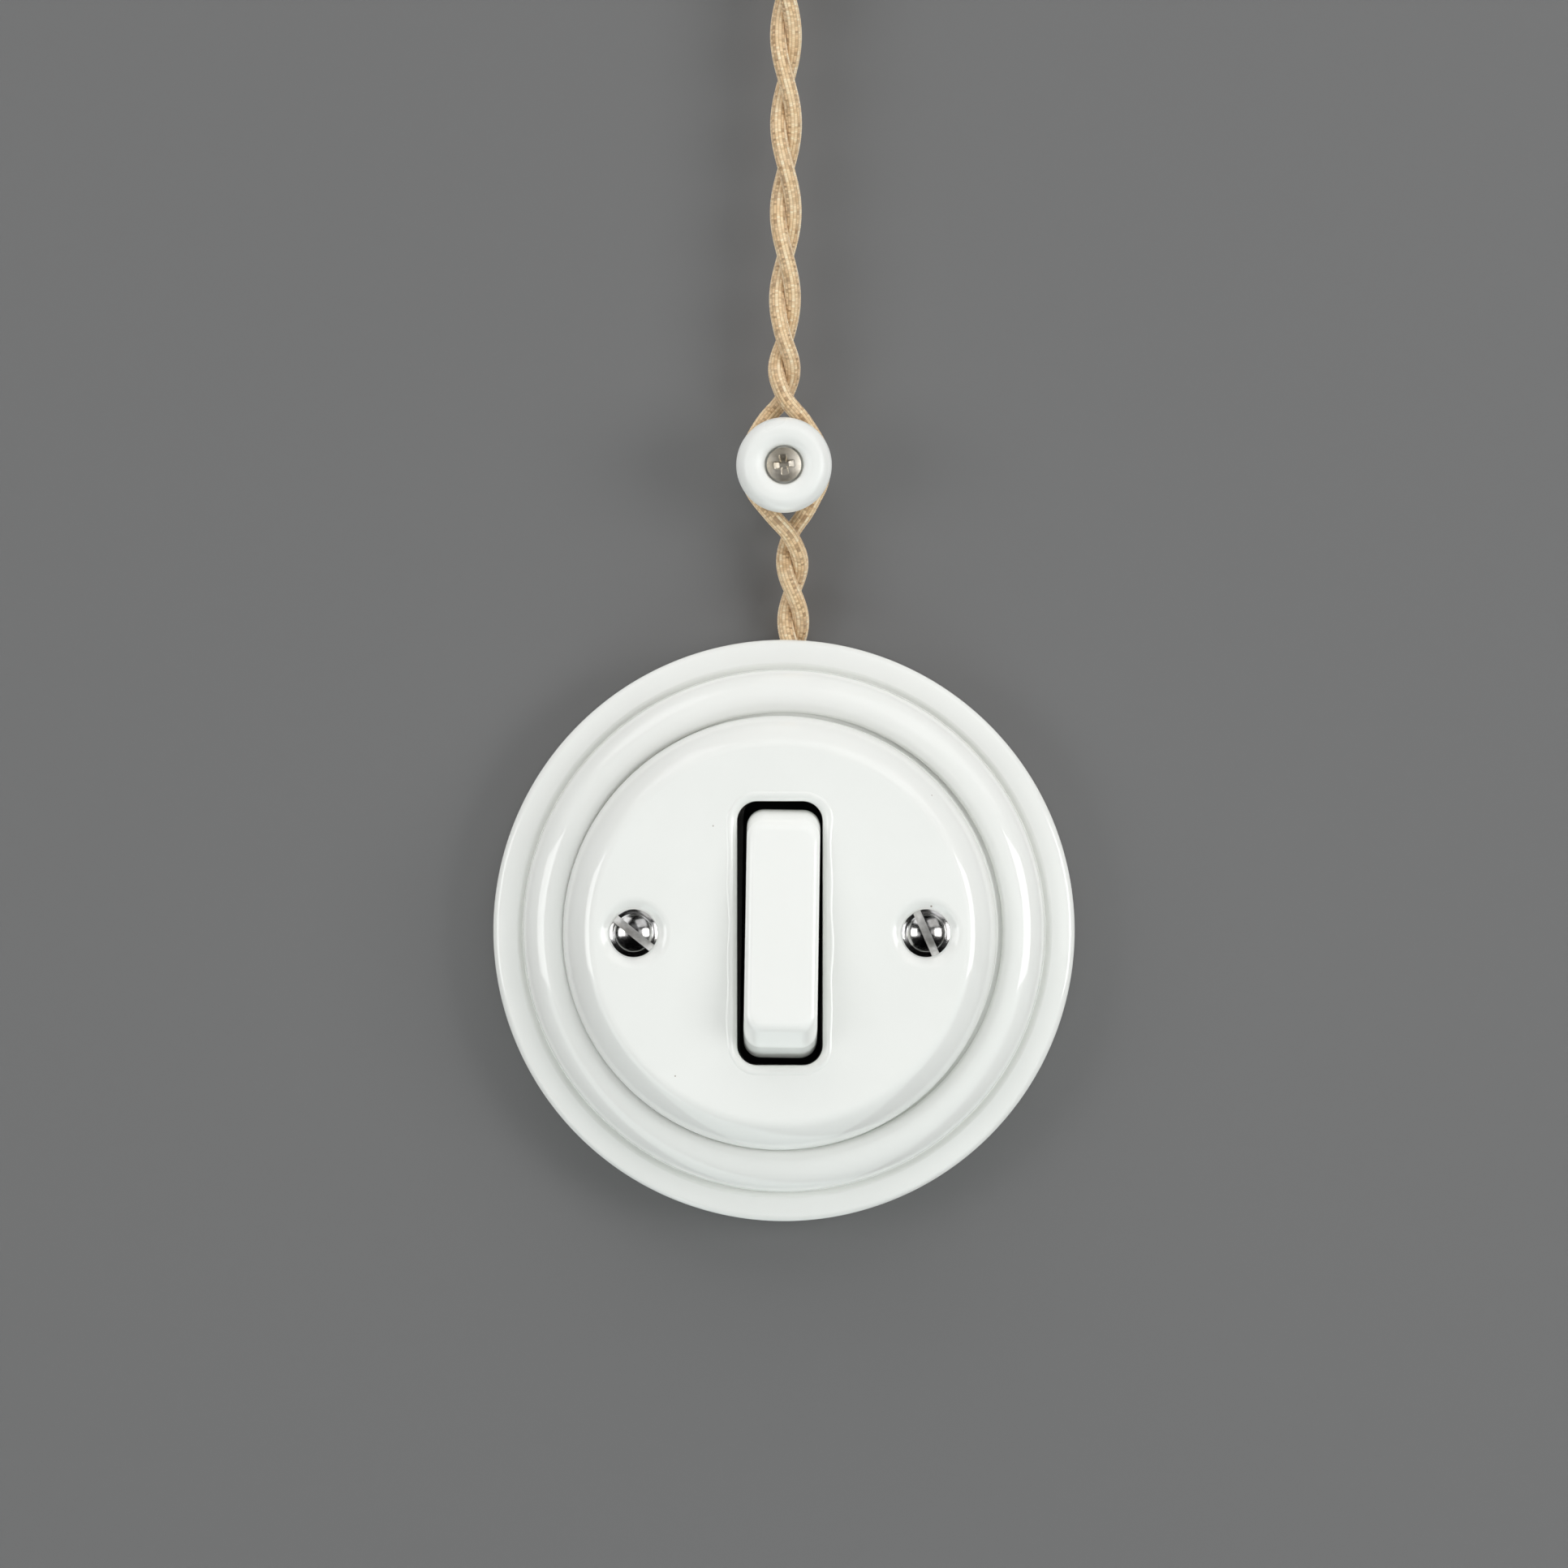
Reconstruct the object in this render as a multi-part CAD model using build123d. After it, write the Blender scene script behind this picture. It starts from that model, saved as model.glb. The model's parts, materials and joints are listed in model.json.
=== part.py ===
from build123d import *
import os
from math import acos, cos, degrees, radians, sin

# Surface-mounted porcelain rocker switch, fed by a twisted textile flex that
# porcelain knob insulators hold off the wall. Sizes are in millimetres.
#
# Every piece is modelled in a bench frame: x to the right, y up the wall and
# z away from the wall, with the wall ring's back centre at the origin. FRONT
# turns that frame upright: +Z up, and the switch faces -Y.
FRONT = Plane(origin=(0, 0, 0), x_dir=(1, 0, 0), z_dir=(0, -1, 0))

# --- wall ring ---------------------------------------------------------------
ring_radius = 50.0
ring_wall = 4.6
ring_hollow_height = 5.0
ring_shoulder_wall = 4.0
lip_crest_radius = 45.2
lip_height = 9.6
lip_curve = 15.0
lip_tilt = 14.7
lip_edge_curve = 1.35
shoulder_radius = 44.85
shoulder_curve = 5.4
crest_height = 15.3
inner_curve = 3.0
seat_height = 14.95
seat_inner_radius = 33.9
step_fillet = 0.225
notch_radius = 3.2

# --- cover -------------------------------------------------------------------
cover_radius = 37.2
cover_flat_radius = 31.6
shoulder_tilt = 36.0
edge_tilt = 80.0
cover_shoulder_curve = 3.3
cover_edge_curve = 9.2
cover_rim_width = 3.8
cover_rim_round = 0.5
cover_skirt = 1.3
cover_haunch = 2.2
cover_ceiling = 18.2
cover_offset = (-0.7, -0.3)
slot_width = 14.6
slot_length = 45.1
slot_corner = 3.4
slot_roll = 1.4
dish_radius = 5.6
dish_depth = 0.9
dish_roll = 0.9
dish_curve = 2.6
dish_tilt = 32.0

# --- cover screws ------------------------------------------------------------
cover_screw_spacing = 50.0
cover_screw_head = 4.1
cover_screw_edge = 0.35
cover_screw_dome = 1.75
cover_screw_shank = 1.9
cover_screw_end = 7.5
screw_slot_width = 1.35
screw_slot_depth = 1.1
left_slot_angle = -39.0
right_slot_angle = -66.0
thread_gap = 0.03

# --- rocker ------------------------------------------------------------------
mechanism_offset = (-0.35, -0.15)
mechanism_lean = -0.9
pivot_height = 16.0
rocker_tilt = 7.0
rocker_width = 12.6
rocker_rise = 10.2
rocker_drop = 1.5
rocker_face_length = 36.0
rocker_base_length = 43.0
rocker_wall = 2.0
rocker_face_wall = 2.6
rocker_end_wall = 3.6
rocker_corner = 3.0
rocker_edge_round = 1.5
rocker_face_round = 2.6
pin_radius = 1.2
pin_depth = (4.0, 8.0)
running_gap = 0.05

# --- over-centre plunger and seesaw contact ------------------------------------
boss_length = 7.2
boss_drop = 3.6
bore_radius = 2.0
bore_rise = 5.5
plunger_radius = 1.92
plunger_tip_radius = 1.2
plunger_tip_drop = 5.6
plunger_shoulder = -3.4
plunger_top = -0.4
plunger_recess = (0.9, 1.4)
spring_radius = 1.45
spring_wire = 0.45
spring_turns = 6
spring_gap = 0.02
seesaw_height = 8.2
seesaw_tilt = 6.0
seesaw_length = 19.8
seesaw_width = 4.4
seesaw_under = 0.15
seesaw_thickness = 1.2
seesaw_hub = 5.0
trough_slack = 0.59
knife_radius = 0.6
contact_reach = 8.5
tip_radius = 1.2
tip_drop = 0.55
fixed_tip_height = 6.6

# --- base and mechanism housing ------------------------------------------------
base_radius = 33.0
base_thickness = 4.2
boss_radius = 4.4
boss_top = 14.0
insert_radius = 3.0
insert_foot = 6.0
floor_thickness = 1.2
floor_size = (38.0, 37.0)
housing_half_width = 9.4
housing_cavity = 6.9
housing_top = 17.9
tray_length = 48.4
tray_cavity_length = 45.2
tray_floor = 9.5
tray_floor_wall = 1.2
well_length = 25.6
well_cavity_length = 22.4
well_cavity_half = 5.0
wall_hole_spacing = (48.0, 32.0)
wall_hole_radius = 2.2
floor_screw_places = [(-14.5, -12.5), (14.5, 0.0)]
floor_screw_radius = 1.4
floor_screw_head = (2.4, 1.5)
floor_screw_end = 0.8
floor_insert_radius = 2.4
small_slot = (0.7, 0.8)

# --- fixed contacts and terminals ----------------------------------------------
strip_thickness = 0.7
strip_half_width = 2.5
fixed_strip = (6.8, 10.2)
strip_room = 0.1
pad_reach = (11.5, 17.5)
pad_end = 16.5
terminal_place = (14.5, 13.0)
terminal_size = (6.0, 7.0, 6.9)
terminal_edge = 0.5
terminal_bore = (1.5, 5.5)
terminal_screw_bore = 1.25
terminal_screw = (1.2, 2.1, 1.6)
terminals = {"common": (-1, 1), "upper": (1, 1), "lower": (1, -1)}
wire_height = 8.0
wire_radius = 0.6
wire_span = (11.3, 17.2)

# --- flex and its clamp ----------------------------------------------------------
flex_diameter = 5.5
core_diameter = 2.8
core_spread = 1.42
core_lead = 2.6
tail_diameter = 2.6
flex_height = 3.75
flex_entry = 1.5
groove_half_width = 4.6
groove_start = 20.5
groove_floor = 0.9
clamp_span = (26.0, 30.6)
clamp_half_length = 8.2
clamp_top = 8.2
clamp_round = 1.2
clamp_screw_places = [(flex_entry - 6.2, 28.3), (flex_entry + 6.2, 28.3)]
clamp_screw = (1.15, 2.0, 1.4)

# --- knob insulators, their screws and the ferrules ------------------------------
knob_place = (0.0, 79.9)
far_knob_place = (0.0, 183.4)
knob_height = 18.4
knob_radius = 8.2
knob_widest = 14.6
knob_foot_radius = 7.4
knob_foot_height = 3.2
knob_neck_radius = 6.6
knob_waist_radius = 4.75
knob_groove_height = 8.0
knob_groove_half = 3.3
knob_crown_radius = 5.7
knob_bore = 2.2
knob_dish_radius = 3.4
knob_dish_floor = 16.3
knob_screw_head = 3.1
knob_screw_edge = 0.3
knob_screw_dome = 1.7
knob_screw_shank = 1.7
knob_screw_thread = 1.9
knob_thread_start = 0.3
knob_screw_reach = 30.0
knob_screw_taper = 5.0
knob_screw_recess = (0.8, 1.0, 3.6)
knob_recess_angles = (8, 98)
ferrule_radius = 0.9
ferrule_collar = (1.25, 3.0)
ferrule_length = 9.0

# The flex leaves its clamp, passes under the ring and climbs to the first knob.
LOWER_FLEX = [(1.5, 26.0, 3.75), (1.5, 53.0, 3.75), (1.0, 68.6, 7.4)]
UPPER_FLEX = [(0.0, 92.6, 8.0), (0.3, 170.8, 8.0)]
FLEX_END = (0.0, 199.5, 8.0)

# Heights and placements that follow from the dimensions above.
floor_top = base_thickness + floor_thickness
strip_top = floor_top + strip_thickness
MECHANISM = Pos(mechanism_offset[0], mechanism_offset[1], 0) * Rot(0, 0, mechanism_lean)
ROCKER = MECHANISM * Pos(0, 0, pivot_height) * Rot(-rocker_tilt, 0, 0)
SEESAW = MECHANISM * Pos(0, 0, seesaw_height) * Rot(seesaw_tilt, 0, 0)
COVER = Pos(cover_offset[0], cover_offset[1], 0)


# --- helpers ---------------------------------------------------------------------
def bend(start, radius, tilt_from, tilt_to):
    """Arc from start along a surface whose slope goes from one tilt to another.

    Tilt is in degrees: 0 faces away from the wall, 90 faces outwards.
    """
    points = []
    for tilt in (tilt_from, (tilt_from + tilt_to) / 2, tilt_to):
        across = sin(radians(tilt)) - sin(radians(tilt_from))
        along = cos(radians(tilt)) - cos(radians(tilt_from))
        points.append((start[0] + radius * across, start[1] + radius * along))
    return ThreePointArc(*points)


def end_of(edge):
    return ((edge @ 1).X, (edge @ 1).Y)


def turned(edges):
    """Solid of revolution about z from an outline in (radius, height)."""
    outline = [edge for line in edges for edge in line.edges()]
    return revolve(Plane.XZ * make_face(outline), Axis.Z)


def block(x, y, z):
    """Box between pairs of limits along x, y and z."""
    size = (x[1] - x[0], y[1] - y[0], z[1] - z[0])
    middle = ((x[0] + x[1]) / 2, (y[0] + y[1]) / 2, (z[0] + z[1]) / 2)
    return Pos(*middle) * Box(*size)


def centred(length):
    """Pair of limits for a length that is centred on zero."""
    return (-length / 2, length / 2)


def pillar(radius, low, high, place=(0, 0)):
    """Cylinder that stands along z at a place, from low to high."""
    return Pos(place[0], place[1], (low + high) / 2) * Cylinder(radius, high - low)


def crosswise(radius, x_from, x_to, y=0.0, z=0.0):
    """Cylinder that lies along x."""
    middle = (x_from + x_to) / 2
    return Pos(middle, y, z) * Rot(0, 90, 0) * Cylinder(radius, abs(x_to - x_from))


def upwise(radius, y_from, y_to, x=0.0, z=0.0):
    """Cylinder that lies along y."""
    middle = (y_from + y_to) / 2
    return Pos(x, middle, z) * Rot(90, 0, 0) * Cylinder(radius, abs(y_to - y_from))


def slotted(head, top, angle, place, width, depth, length=20):
    """Cut a screwdriver slot across a screw head."""
    cutter = block(centred(length), centred(width), (-depth, depth))
    return head - Pos(place[0], place[1], top) * Rot(0, 0, angle) * cutter


def small_screw(place, shank, head, low, seat, angle):
    """Slotted cheese-head screw; head is its radius and height."""
    screw = pillar(shank, low, seat, place) + pillar(head[0], seat, seat + head[1], place)
    return slotted(screw, seat + head[1], angle, place, *small_slot)


def bend_radii(points):
    """The largest bend that each corner's two runs leave room for."""
    radii = []
    for before, corner, after in zip(points, points[1:], points[2:]):
        arriving = Vector(*corner) - Vector(*before)
        leaving = Vector(*after) - Vector(*corner)
        half_turn = radians(arriving.get_angle(leaving) / 2)
        shorter = min(arriving.length, leaving.length)
        radii.append(0.45 * shorter * cos(half_turn) / sin(half_turn))
    return radii


def tube(name, points, diameter):
    """Round cord along straight runs joined by tangent arcs."""
    if len(points) == 2:
        path = Line(*points)
    else:
        radii = bend_radii(points)
        print(name, "bends", [round(radius, 1) for radius in radii])
        path = FilletPolyline(*points, radius=radii)
    start = Plane(origin=path @ 0, z_dir=path % 0)
    return sweep(start * Circle(diameter / 2), path=path)


# --- porcelain shells --------------------------------------------------------------
def ring_outline():
    """Closed outline of the ring's section: low lip, riser, shoulder and cover seat."""
    lip = bend((lip_crest_radius, lip_height), lip_curve, 0, lip_tilt)
    rim = bend(end_of(lip), lip_edge_curve, lip_tilt, 90)
    side_radius = end_of(rim)[0]
    side = Line(end_of(rim), (side_radius, 0))
    foot = ring_radius - ring_wall
    ledge = seat_height - ring_shoulder_wall
    hollow = foot - 1.4 * ring_shoulder_wall
    back = Polyline(
        (side_radius, 0),
        (foot, 0),
        (foot, ring_hollow_height),
        (hollow, ledge),
        (seat_inner_radius, ledge),
        (seat_inner_radius, seat_height),
    )
    crest = (shoulder_radius - shoulder_curve, crest_height)
    outer = bend(crest, shoulder_curve, 0, 90)
    inner_tilt = -degrees(acos(1 - (crest_height - seat_height) / inner_curve))
    inner = bend(crest, inner_curve, 0, inner_tilt)
    seat = Line((seat_inner_radius, seat_height), end_of(inner))
    riser = Line(end_of(outer), (shoulder_radius, lip_height))
    tread = Line((shoulder_radius, lip_height), (lip_crest_radius, lip_height))
    return [lip, rim, side, back, seat, inner, outer, riser, tread]


def wall_ring():
    """Stepped outer ring, hollow behind, with a notch that lets the flex in."""
    ring = turned(ring_outline())
    step = ring.edges().filter_by(GeomType.CIRCLE).filter_by(
        lambda edge: abs(edge.radius - shoulder_radius) < 0.01
        and abs(edge.arc_center.Z - lip_height) < 0.01
    )
    ring = fillet(step, step_fillet)
    outside = ring_radius + 5
    inside = ring_radius - 10
    notch = block(centred(2 * notch_radius), (inside, outside), (-1, flex_height))
    notch += upwise(notch_radius, inside, outside, z=flex_height)
    return ring - Pos(flex_entry, 0, 0) * notch


def cover_face_height():
    shoulder = bend((cover_flat_radius, 0), cover_shoulder_curve, 0, shoulder_tilt)
    edge = bend(end_of(shoulder), cover_edge_curve, shoulder_tilt, edge_tilt)
    return seat_height + cover_rim_round - end_of(edge)[1]


def cover_shell():
    """The cover before it is pierced: flat middle, rounded shoulder, hollow back."""
    face = cover_face_height()
    shoulder = bend((cover_flat_radius, face), cover_shoulder_curve, 0, shoulder_tilt)
    edge = bend(end_of(shoulder), cover_edge_curve, shoulder_tilt, edge_tilt)
    outer, rim_start = end_of(edge)
    inner = cover_radius - cover_rim_width
    back = Polyline(
        (outer, rim_start),
        (outer - cover_rim_round, seat_height),
        (inner, seat_height),
        (inner, seat_height + cover_skirt),
        (inner - cover_haunch, cover_ceiling),
        (0, cover_ceiling),
        (0, face),
        (cover_flat_radius, face),
    )
    return turned([shoulder, edge, back])


def front_edges(shell, cutter, low):
    """Edges that a cutter leaves in a shell's front face."""
    reach = cutter.bounding_box()
    return shell.edges().filter_by(
        lambda edge: edge.bounding_box().min.Z > low
        and reach.min.X - 0.01 < edge.center().X < reach.max.X + 0.01
        and reach.min.Y - 0.01 < edge.center().Y < reach.max.Y + 0.01
    )


def screw_dish():
    """Cutter for a screw seat whose rim rolls over into the glazed face."""
    roll = bend((dish_radius + dish_roll, 0), dish_curve, 0, -dish_tilt)
    outline = Polyline(
        end_of(roll),
        (cover_screw_head + 0.3, -dish_depth),
        (0, -dish_depth),
        (0, 0),
        (dish_radius + dish_roll, 0),
    )
    return turned([roll, outline])


def cover_screw_places():
    half = cover_screw_spacing / 2
    return [(-half, 0), (half, 0)]


def cover_plate():
    """Disc with a rolled slot for the rocker and two dished screw seats."""
    face = cover_face_height()
    shell = cover_shell()
    for place in cover_screw_places():
        shell -= Pos(*place, face) * screw_dish()
        shell -= pillar(cover_screw_shank + 0.4, 0, 40, place)
    slot = extrude(RectangleRounded(slot_width, slot_length, slot_corner), 40)
    shell -= slot
    shell = fillet(front_edges(shell, slot, face - 0.5), slot_roll)
    return COVER * shell


def cover_screw(side, angle):
    """Slotted raised-head screw; its head sits in the cover's dish."""
    seat = cover_face_height() - dish_depth
    place = (side * cover_screw_spacing / 2, 0)
    top = seat + cover_screw_dome
    edge = seat + cover_screw_edge
    head = ThreePointArc((cover_screw_head, edge), (0.63 * cover_screw_head, top - 0.5), (0, top))
    outline = Polyline(
        (0, top),
        (0, cover_screw_end),
        (cover_screw_shank, cover_screw_end),
        (cover_screw_shank, seat),
        (cover_screw_head, seat),
        (cover_screw_head, edge),
    )
    screw = Pos(*place, 0) * turned([outline, head])
    return COVER * slotted(screw, top, angle, place, screw_slot_width, screw_slot_depth)


# --- rocker and its over-centre parts ----------------------------------------------
def trapezium(half_base, half_top, low, high):
    corners = [(-half_base, low), (half_base, low), (half_top, high), (-half_top, high)]
    return make_face(Polyline(*corners, close=True))


def rocker_key():
    """Hollow key with sloping ends, a middle boss and blind pin holes."""
    half_face, half_base = rocker_face_length / 2, rocker_base_length / 2
    side = trapezium(half_base, half_face, -rocker_drop, rocker_rise)
    side = fillet(side.vertices().filter_by(lambda corner: corner.Y > 0), rocker_face_round)
    key = extrude(Plane.YZ * side, rocker_width / 2, both=True)
    plan = RectangleRounded(rocker_width, rocker_base_length + 0.01, rocker_corner)
    key &= extrude(plan, 40, both=True)
    long_edges = key.edges().filter_by(
        lambda edge: edge.center().Z > 2 and abs(abs(edge.center().X) - rocker_width / 2) < 0.5
    )
    key = fillet(long_edges, rocker_edge_round)
    inside = rocker_width / 2 - rocker_wall
    hollow = trapezium(
        half_base - rocker_end_wall,
        half_face - rocker_wall,
        -rocker_drop - 1,
        rocker_rise - rocker_face_wall,
    )
    key -= extrude(Plane.YZ * hollow, inside, both=True)
    key += block(
        (-inside - 0.5, inside + 0.5),
        centred(boss_length),
        (-boss_drop, rocker_rise - rocker_wall),
    )
    key -= pillar(bore_radius, -boss_drop - 1, bore_rise)
    for side in (-1, 1):
        key -= crosswise(pin_radius + running_gap, side * pin_depth[0], side * pin_depth[1])
    return ROCKER * key


def pivot_pins():
    """Two steel pins, held in the housing, that the rocker turns on."""
    start = pin_depth[0] + 0.2
    pins = [crosswise(pin_radius, side * start, side * housing_half_width) for side in (-1, 1)]
    return [MECHANISM * Pos(0, 0, pivot_height) * pin for pin in pins]


def plunger():
    """Round-nosed brass plunger that slides in the rocker's boss."""
    nose = plunger_tip_radius - plunger_tip_drop
    recess_radius, recess_depth = plunger_recess
    outline = Polyline(
        (plunger_tip_radius, nose),
        (plunger_radius, plunger_shoulder),
        (plunger_radius, plunger_top),
        (recess_radius, plunger_top),
        (recess_radius, plunger_top + recess_depth),
        (0, plunger_top + recess_depth),
        (0, -plunger_tip_drop),
    )
    low = plunger_tip_radius * sin(radians(45))
    tip = ThreePointArc((0, -plunger_tip_drop), (low, nose - low), (plunger_tip_radius, nose))
    return ROCKER * turned([outline, tip])


def plunger_spring():
    """Compression spring between the plunger's shoulder and the end of its bore."""
    gap = spring_wire / 2 + spring_gap
    height = bore_rise - plunger_top - 2 * gap
    coil = Helix(height / spring_turns, height, spring_radius)
    wire = Plane(origin=coil @ 0, z_dir=coil % 0) * Circle(spring_wire / 2)
    return ROCKER * Pos(0, 0, plunger_top + gap) * sweep(wire, path=coil)


def contact_seesaw():
    """Brass bar that rocks on the knife; the plunger's nose runs in its trough."""
    nose_height = pivot_height - plunger_tip_drop + plunger_tip_radius - seesaw_height
    width = centred(seesaw_width)
    bar = block(width, centred(seesaw_length), (seesaw_under, seesaw_under + seesaw_thickness))
    bar += block(width, centred(seesaw_hub), (seesaw_under, nose_height - 0.5))
    trough = plunger_tip_radius + trough_slack
    trough_height = nose_height + trough_slack - running_gap
    bar -= crosswise(trough, -seesaw_width, seesaw_width, z=trough_height)
    bar -= crosswise(knife_radius + running_gap, -seesaw_width, seesaw_width)
    return SEESAW * bar


def seesaw_contacts():
    """Silver tips under the ends of the seesaw."""
    return [
        SEESAW * pillar(tip_radius, -tip_drop, seesaw_under, (0, side * contact_reach))
        for side in (-1, 1)
    ]


# --- fixed contacts and terminals ------------------------------------------------------
def terminal_pad(side_x, side_y, inner_y):
    x = sorted(side_x * reach for reach in pad_reach)
    y = sorted((inner_y, side_y * pad_end))
    return block(x, y, (floor_top, strip_top))


def common_contact():
    """Brass strip with the knife that the seesaw rocks on."""
    width = centred(seesaw_width)
    knife = block(width, (-knife_radius, knife_radius), (strip_top, seesaw_height))
    knife += crosswise(knife_radius, *width, z=seesaw_height)
    strip_end = pad_reach[0] + 0.5
    strip = block((-strip_end, strip_half_width), centred(2 * strip_half_width), (floor_top, strip_top))
    return MECHANISM * (strip + terminal_pad(-1, 1, -strip_half_width) + knife)


def fixed_contact(side_y):
    """Brass strip from under one end of the seesaw out to its terminal."""
    y = sorted(side_y * edge for edge in fixed_strip)
    strip = block((-strip_half_width, pad_reach[0] + 0.5), y, (floor_top, strip_top))
    return MECHANISM * (strip + terminal_pad(1, side_y, side_y * fixed_strip[0]))


def fixed_tips():
    """Silver tips on the two fixed contacts."""
    return [
        MECHANISM * pillar(tip_radius, strip_top, fixed_tip_height, (0, side * contact_reach))
        for side in (-1, 1)
    ]


def terminal_centre(side_x, side_y):
    return (side_x * terminal_place[0], side_y * terminal_place[1])


def terminal(side_x, side_y):
    """Brass block with a wire hole along y and a screw hole from the front."""
    centre = terminal_centre(side_x, side_y)
    body = Pos(*centre, strip_top + terminal_size[2] / 2) * Box(*terminal_size)
    body = chamfer(body.edges().filter_by(Axis.Z), terminal_edge)
    mouth = centre[1] + side_y * terminal_size[1] / 2
    radius, depth = terminal_bore
    body -= upwise(radius, mouth + side_y, mouth - side_y * depth, x=centre[0], z=wire_height)
    body -= pillar(terminal_screw_bore, wire_height, 20, centre)
    return MECHANISM * body


def terminal_screws():
    """Slotted clamp screws, one in each terminal."""
    seat = strip_top + terminal_size[2]
    shank, *head = terminal_screw
    low = wire_height + wire_radius
    return [
        MECHANISM * small_screw(terminal_centre(*sides), shank, head, low, seat, 30 * sides[1])
        for sides in terminals.values()
    ]


# --- housing and base ---------------------------------------------------------------
def mechanism_housing():
    """Black moulded body: terminal floor, contact well and rocker tray."""
    floor = block(centred(floor_size[0]), centred(floor_size[1]), (base_thickness, floor_top))
    floor = chamfer(floor.edges().filter_by(Axis.Z), 3)
    width = centred(2 * housing_half_width)
    well = block(width, centred(well_length), (base_thickness, tray_floor + 1))
    tray = block(width, centred(tray_length), (tray_floor, housing_top))
    tray = fillet(tray.edges().filter_by(Axis.Z), 3.5)
    body = floor + well + tray
    above = housing_top + 1
    body -= block(centred(2 * well_cavity_half), centred(well_cavity_length), (floor_top, above))
    room = extrude(RectangleRounded(2 * housing_cavity, tray_cavity_length, 2.6), 20)
    body -= Pos(0, 0, tray_floor + tray_floor_wall) * room
    body -= crosswise(pin_radius, -20, 20, z=pivot_height)
    strip_gap = (floor_top, strip_top + strip_room)
    outside = housing_half_width + 1
    body -= block((-outside, 0), centred(2 * strip_half_width + 2 * strip_room), strip_gap)
    for side in (-1, 1):
        y = sorted((side * (fixed_strip[0] - strip_room), side * (fixed_strip[1] + strip_room)))
        body -= block((0, outside), y, strip_gap)
    for place in floor_screw_places:
        body -= pillar(floor_screw_radius + 0.2, 0, tray_floor, place)
    return MECHANISM * body


def housing_screws():
    """Slotted screws that hold the housing to the base."""
    return [
        MECHANISM
        * small_screw(place, floor_screw_radius, floor_screw_head, floor_screw_end, floor_top, 50)
        for place in floor_screw_places
    ]


def base_inserts():
    """Brass bushes in the base for the housing screws."""
    bushes = [
        pillar(floor_insert_radius, floor_screw_end, base_thickness, place)
        - pillar(floor_screw_radius + thread_gap, 0, tray_floor, place)
        for place in floor_screw_places
    ]
    return [MECHANISM * bush for bush in bushes]


def base_plate():
    """Steatite disc on the wall with bosses for the cover screws and a flex groove."""
    plate = COVER * pillar(base_radius, 0, base_thickness)
    for place in cover_screw_places():
        plate += COVER * pillar(boss_radius, 1, boss_top, place)
        plate -= COVER * pillar(insert_radius, insert_foot, boss_top + 1, place)
        plate -= COVER * pillar(cover_screw_shank + 0.2, base_thickness, insert_foot + 1, place)
    for x in centred(wall_hole_spacing[0]):
        for y in centred(wall_hole_spacing[1]):
            plate -= COVER * pillar(wall_hole_radius, -1, base_thickness + 1, (x, y))
    for place in floor_screw_places:
        plate -= MECHANISM * pillar(floor_insert_radius, floor_screw_end, tray_floor, place)
    groove_x = (flex_entry - groove_half_width, flex_entry + groove_half_width)
    plate -= block(groove_x, (groove_start, base_radius + 5), (groove_floor, tray_floor))
    for place in clamp_screw_places:
        plate -= pillar(clamp_screw[0] + 0.05, groove_floor, tray_floor, place)
    return plate


def cover_inserts():
    """Brass bushes in the base's bosses that the cover screws thread into."""
    return [
        COVER
        * (
            pillar(insert_radius, insert_foot, boss_top, place)
            - pillar(cover_screw_shank + thread_gap, insert_foot - 1, boss_top + 1, place)
        )
        for place in cover_screw_places()
    ]


# --- knob insulators --------------------------------------------------------------------
def knob(place):
    """Turned porcelain spool: foot, waist for the cores, and a dished head."""
    low = knob_groove_height - knob_groove_half
    high = knob_groove_height + knob_groove_half
    foot_top = (knob_foot_radius, knob_foot_height)
    neck = (knob_neck_radius, low)
    shoulder = (knob_neck_radius, high)
    crown = (knob_crown_radius, knob_height)
    dish_edge = (knob_dish_radius, knob_dish_floor)
    foot = Polyline((knob_bore, 0), (knob_foot_radius, 0), foot_top)
    foot_edge = ThreePointArc(foot_top, (knob_foot_radius - 0.15, knob_foot_height + 0.9), neck)
    waist = ThreePointArc(neck, (knob_waist_radius, knob_groove_height), shoulder)
    head = ThreePointArc(shoulder, (knob_radius, knob_widest), crown)
    dish = ThreePointArc(crown, (knob_dish_radius + 0.9, knob_dish_floor + 1.3), dish_edge)
    bore = Polyline(dish_edge, (knob_bore, knob_dish_floor), (knob_bore, 0))
    return Pos(*place, 0) * turned([foot, foot_edge, waist, head, dish, bore])


def knob_screw(place):
    """Round-headed cross-recess screw that reaches into the wall."""
    seat = knob_dish_floor
    edge = seat + knob_screw_edge
    top = seat + knob_screw_dome
    head = ThreePointArc((knob_screw_head, edge), (0.61 * knob_screw_head, top - 0.35), (0, top))
    outline = Polyline(
        (0, top),
        (0, -knob_screw_reach),
        (knob_screw_thread, knob_screw_taper - knob_screw_reach),
        (knob_screw_thread, -knob_thread_start),
        (knob_screw_shank, -knob_thread_start),
        (knob_screw_shank, seat),
        (knob_screw_head, seat),
        (knob_screw_head, edge),
    )
    screw = Pos(*place, 0) * turned([outline, head])
    for angle in knob_recess_angles:
        screw = slotted(screw, top, angle, place, *knob_screw_recess)
    return screw


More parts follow.
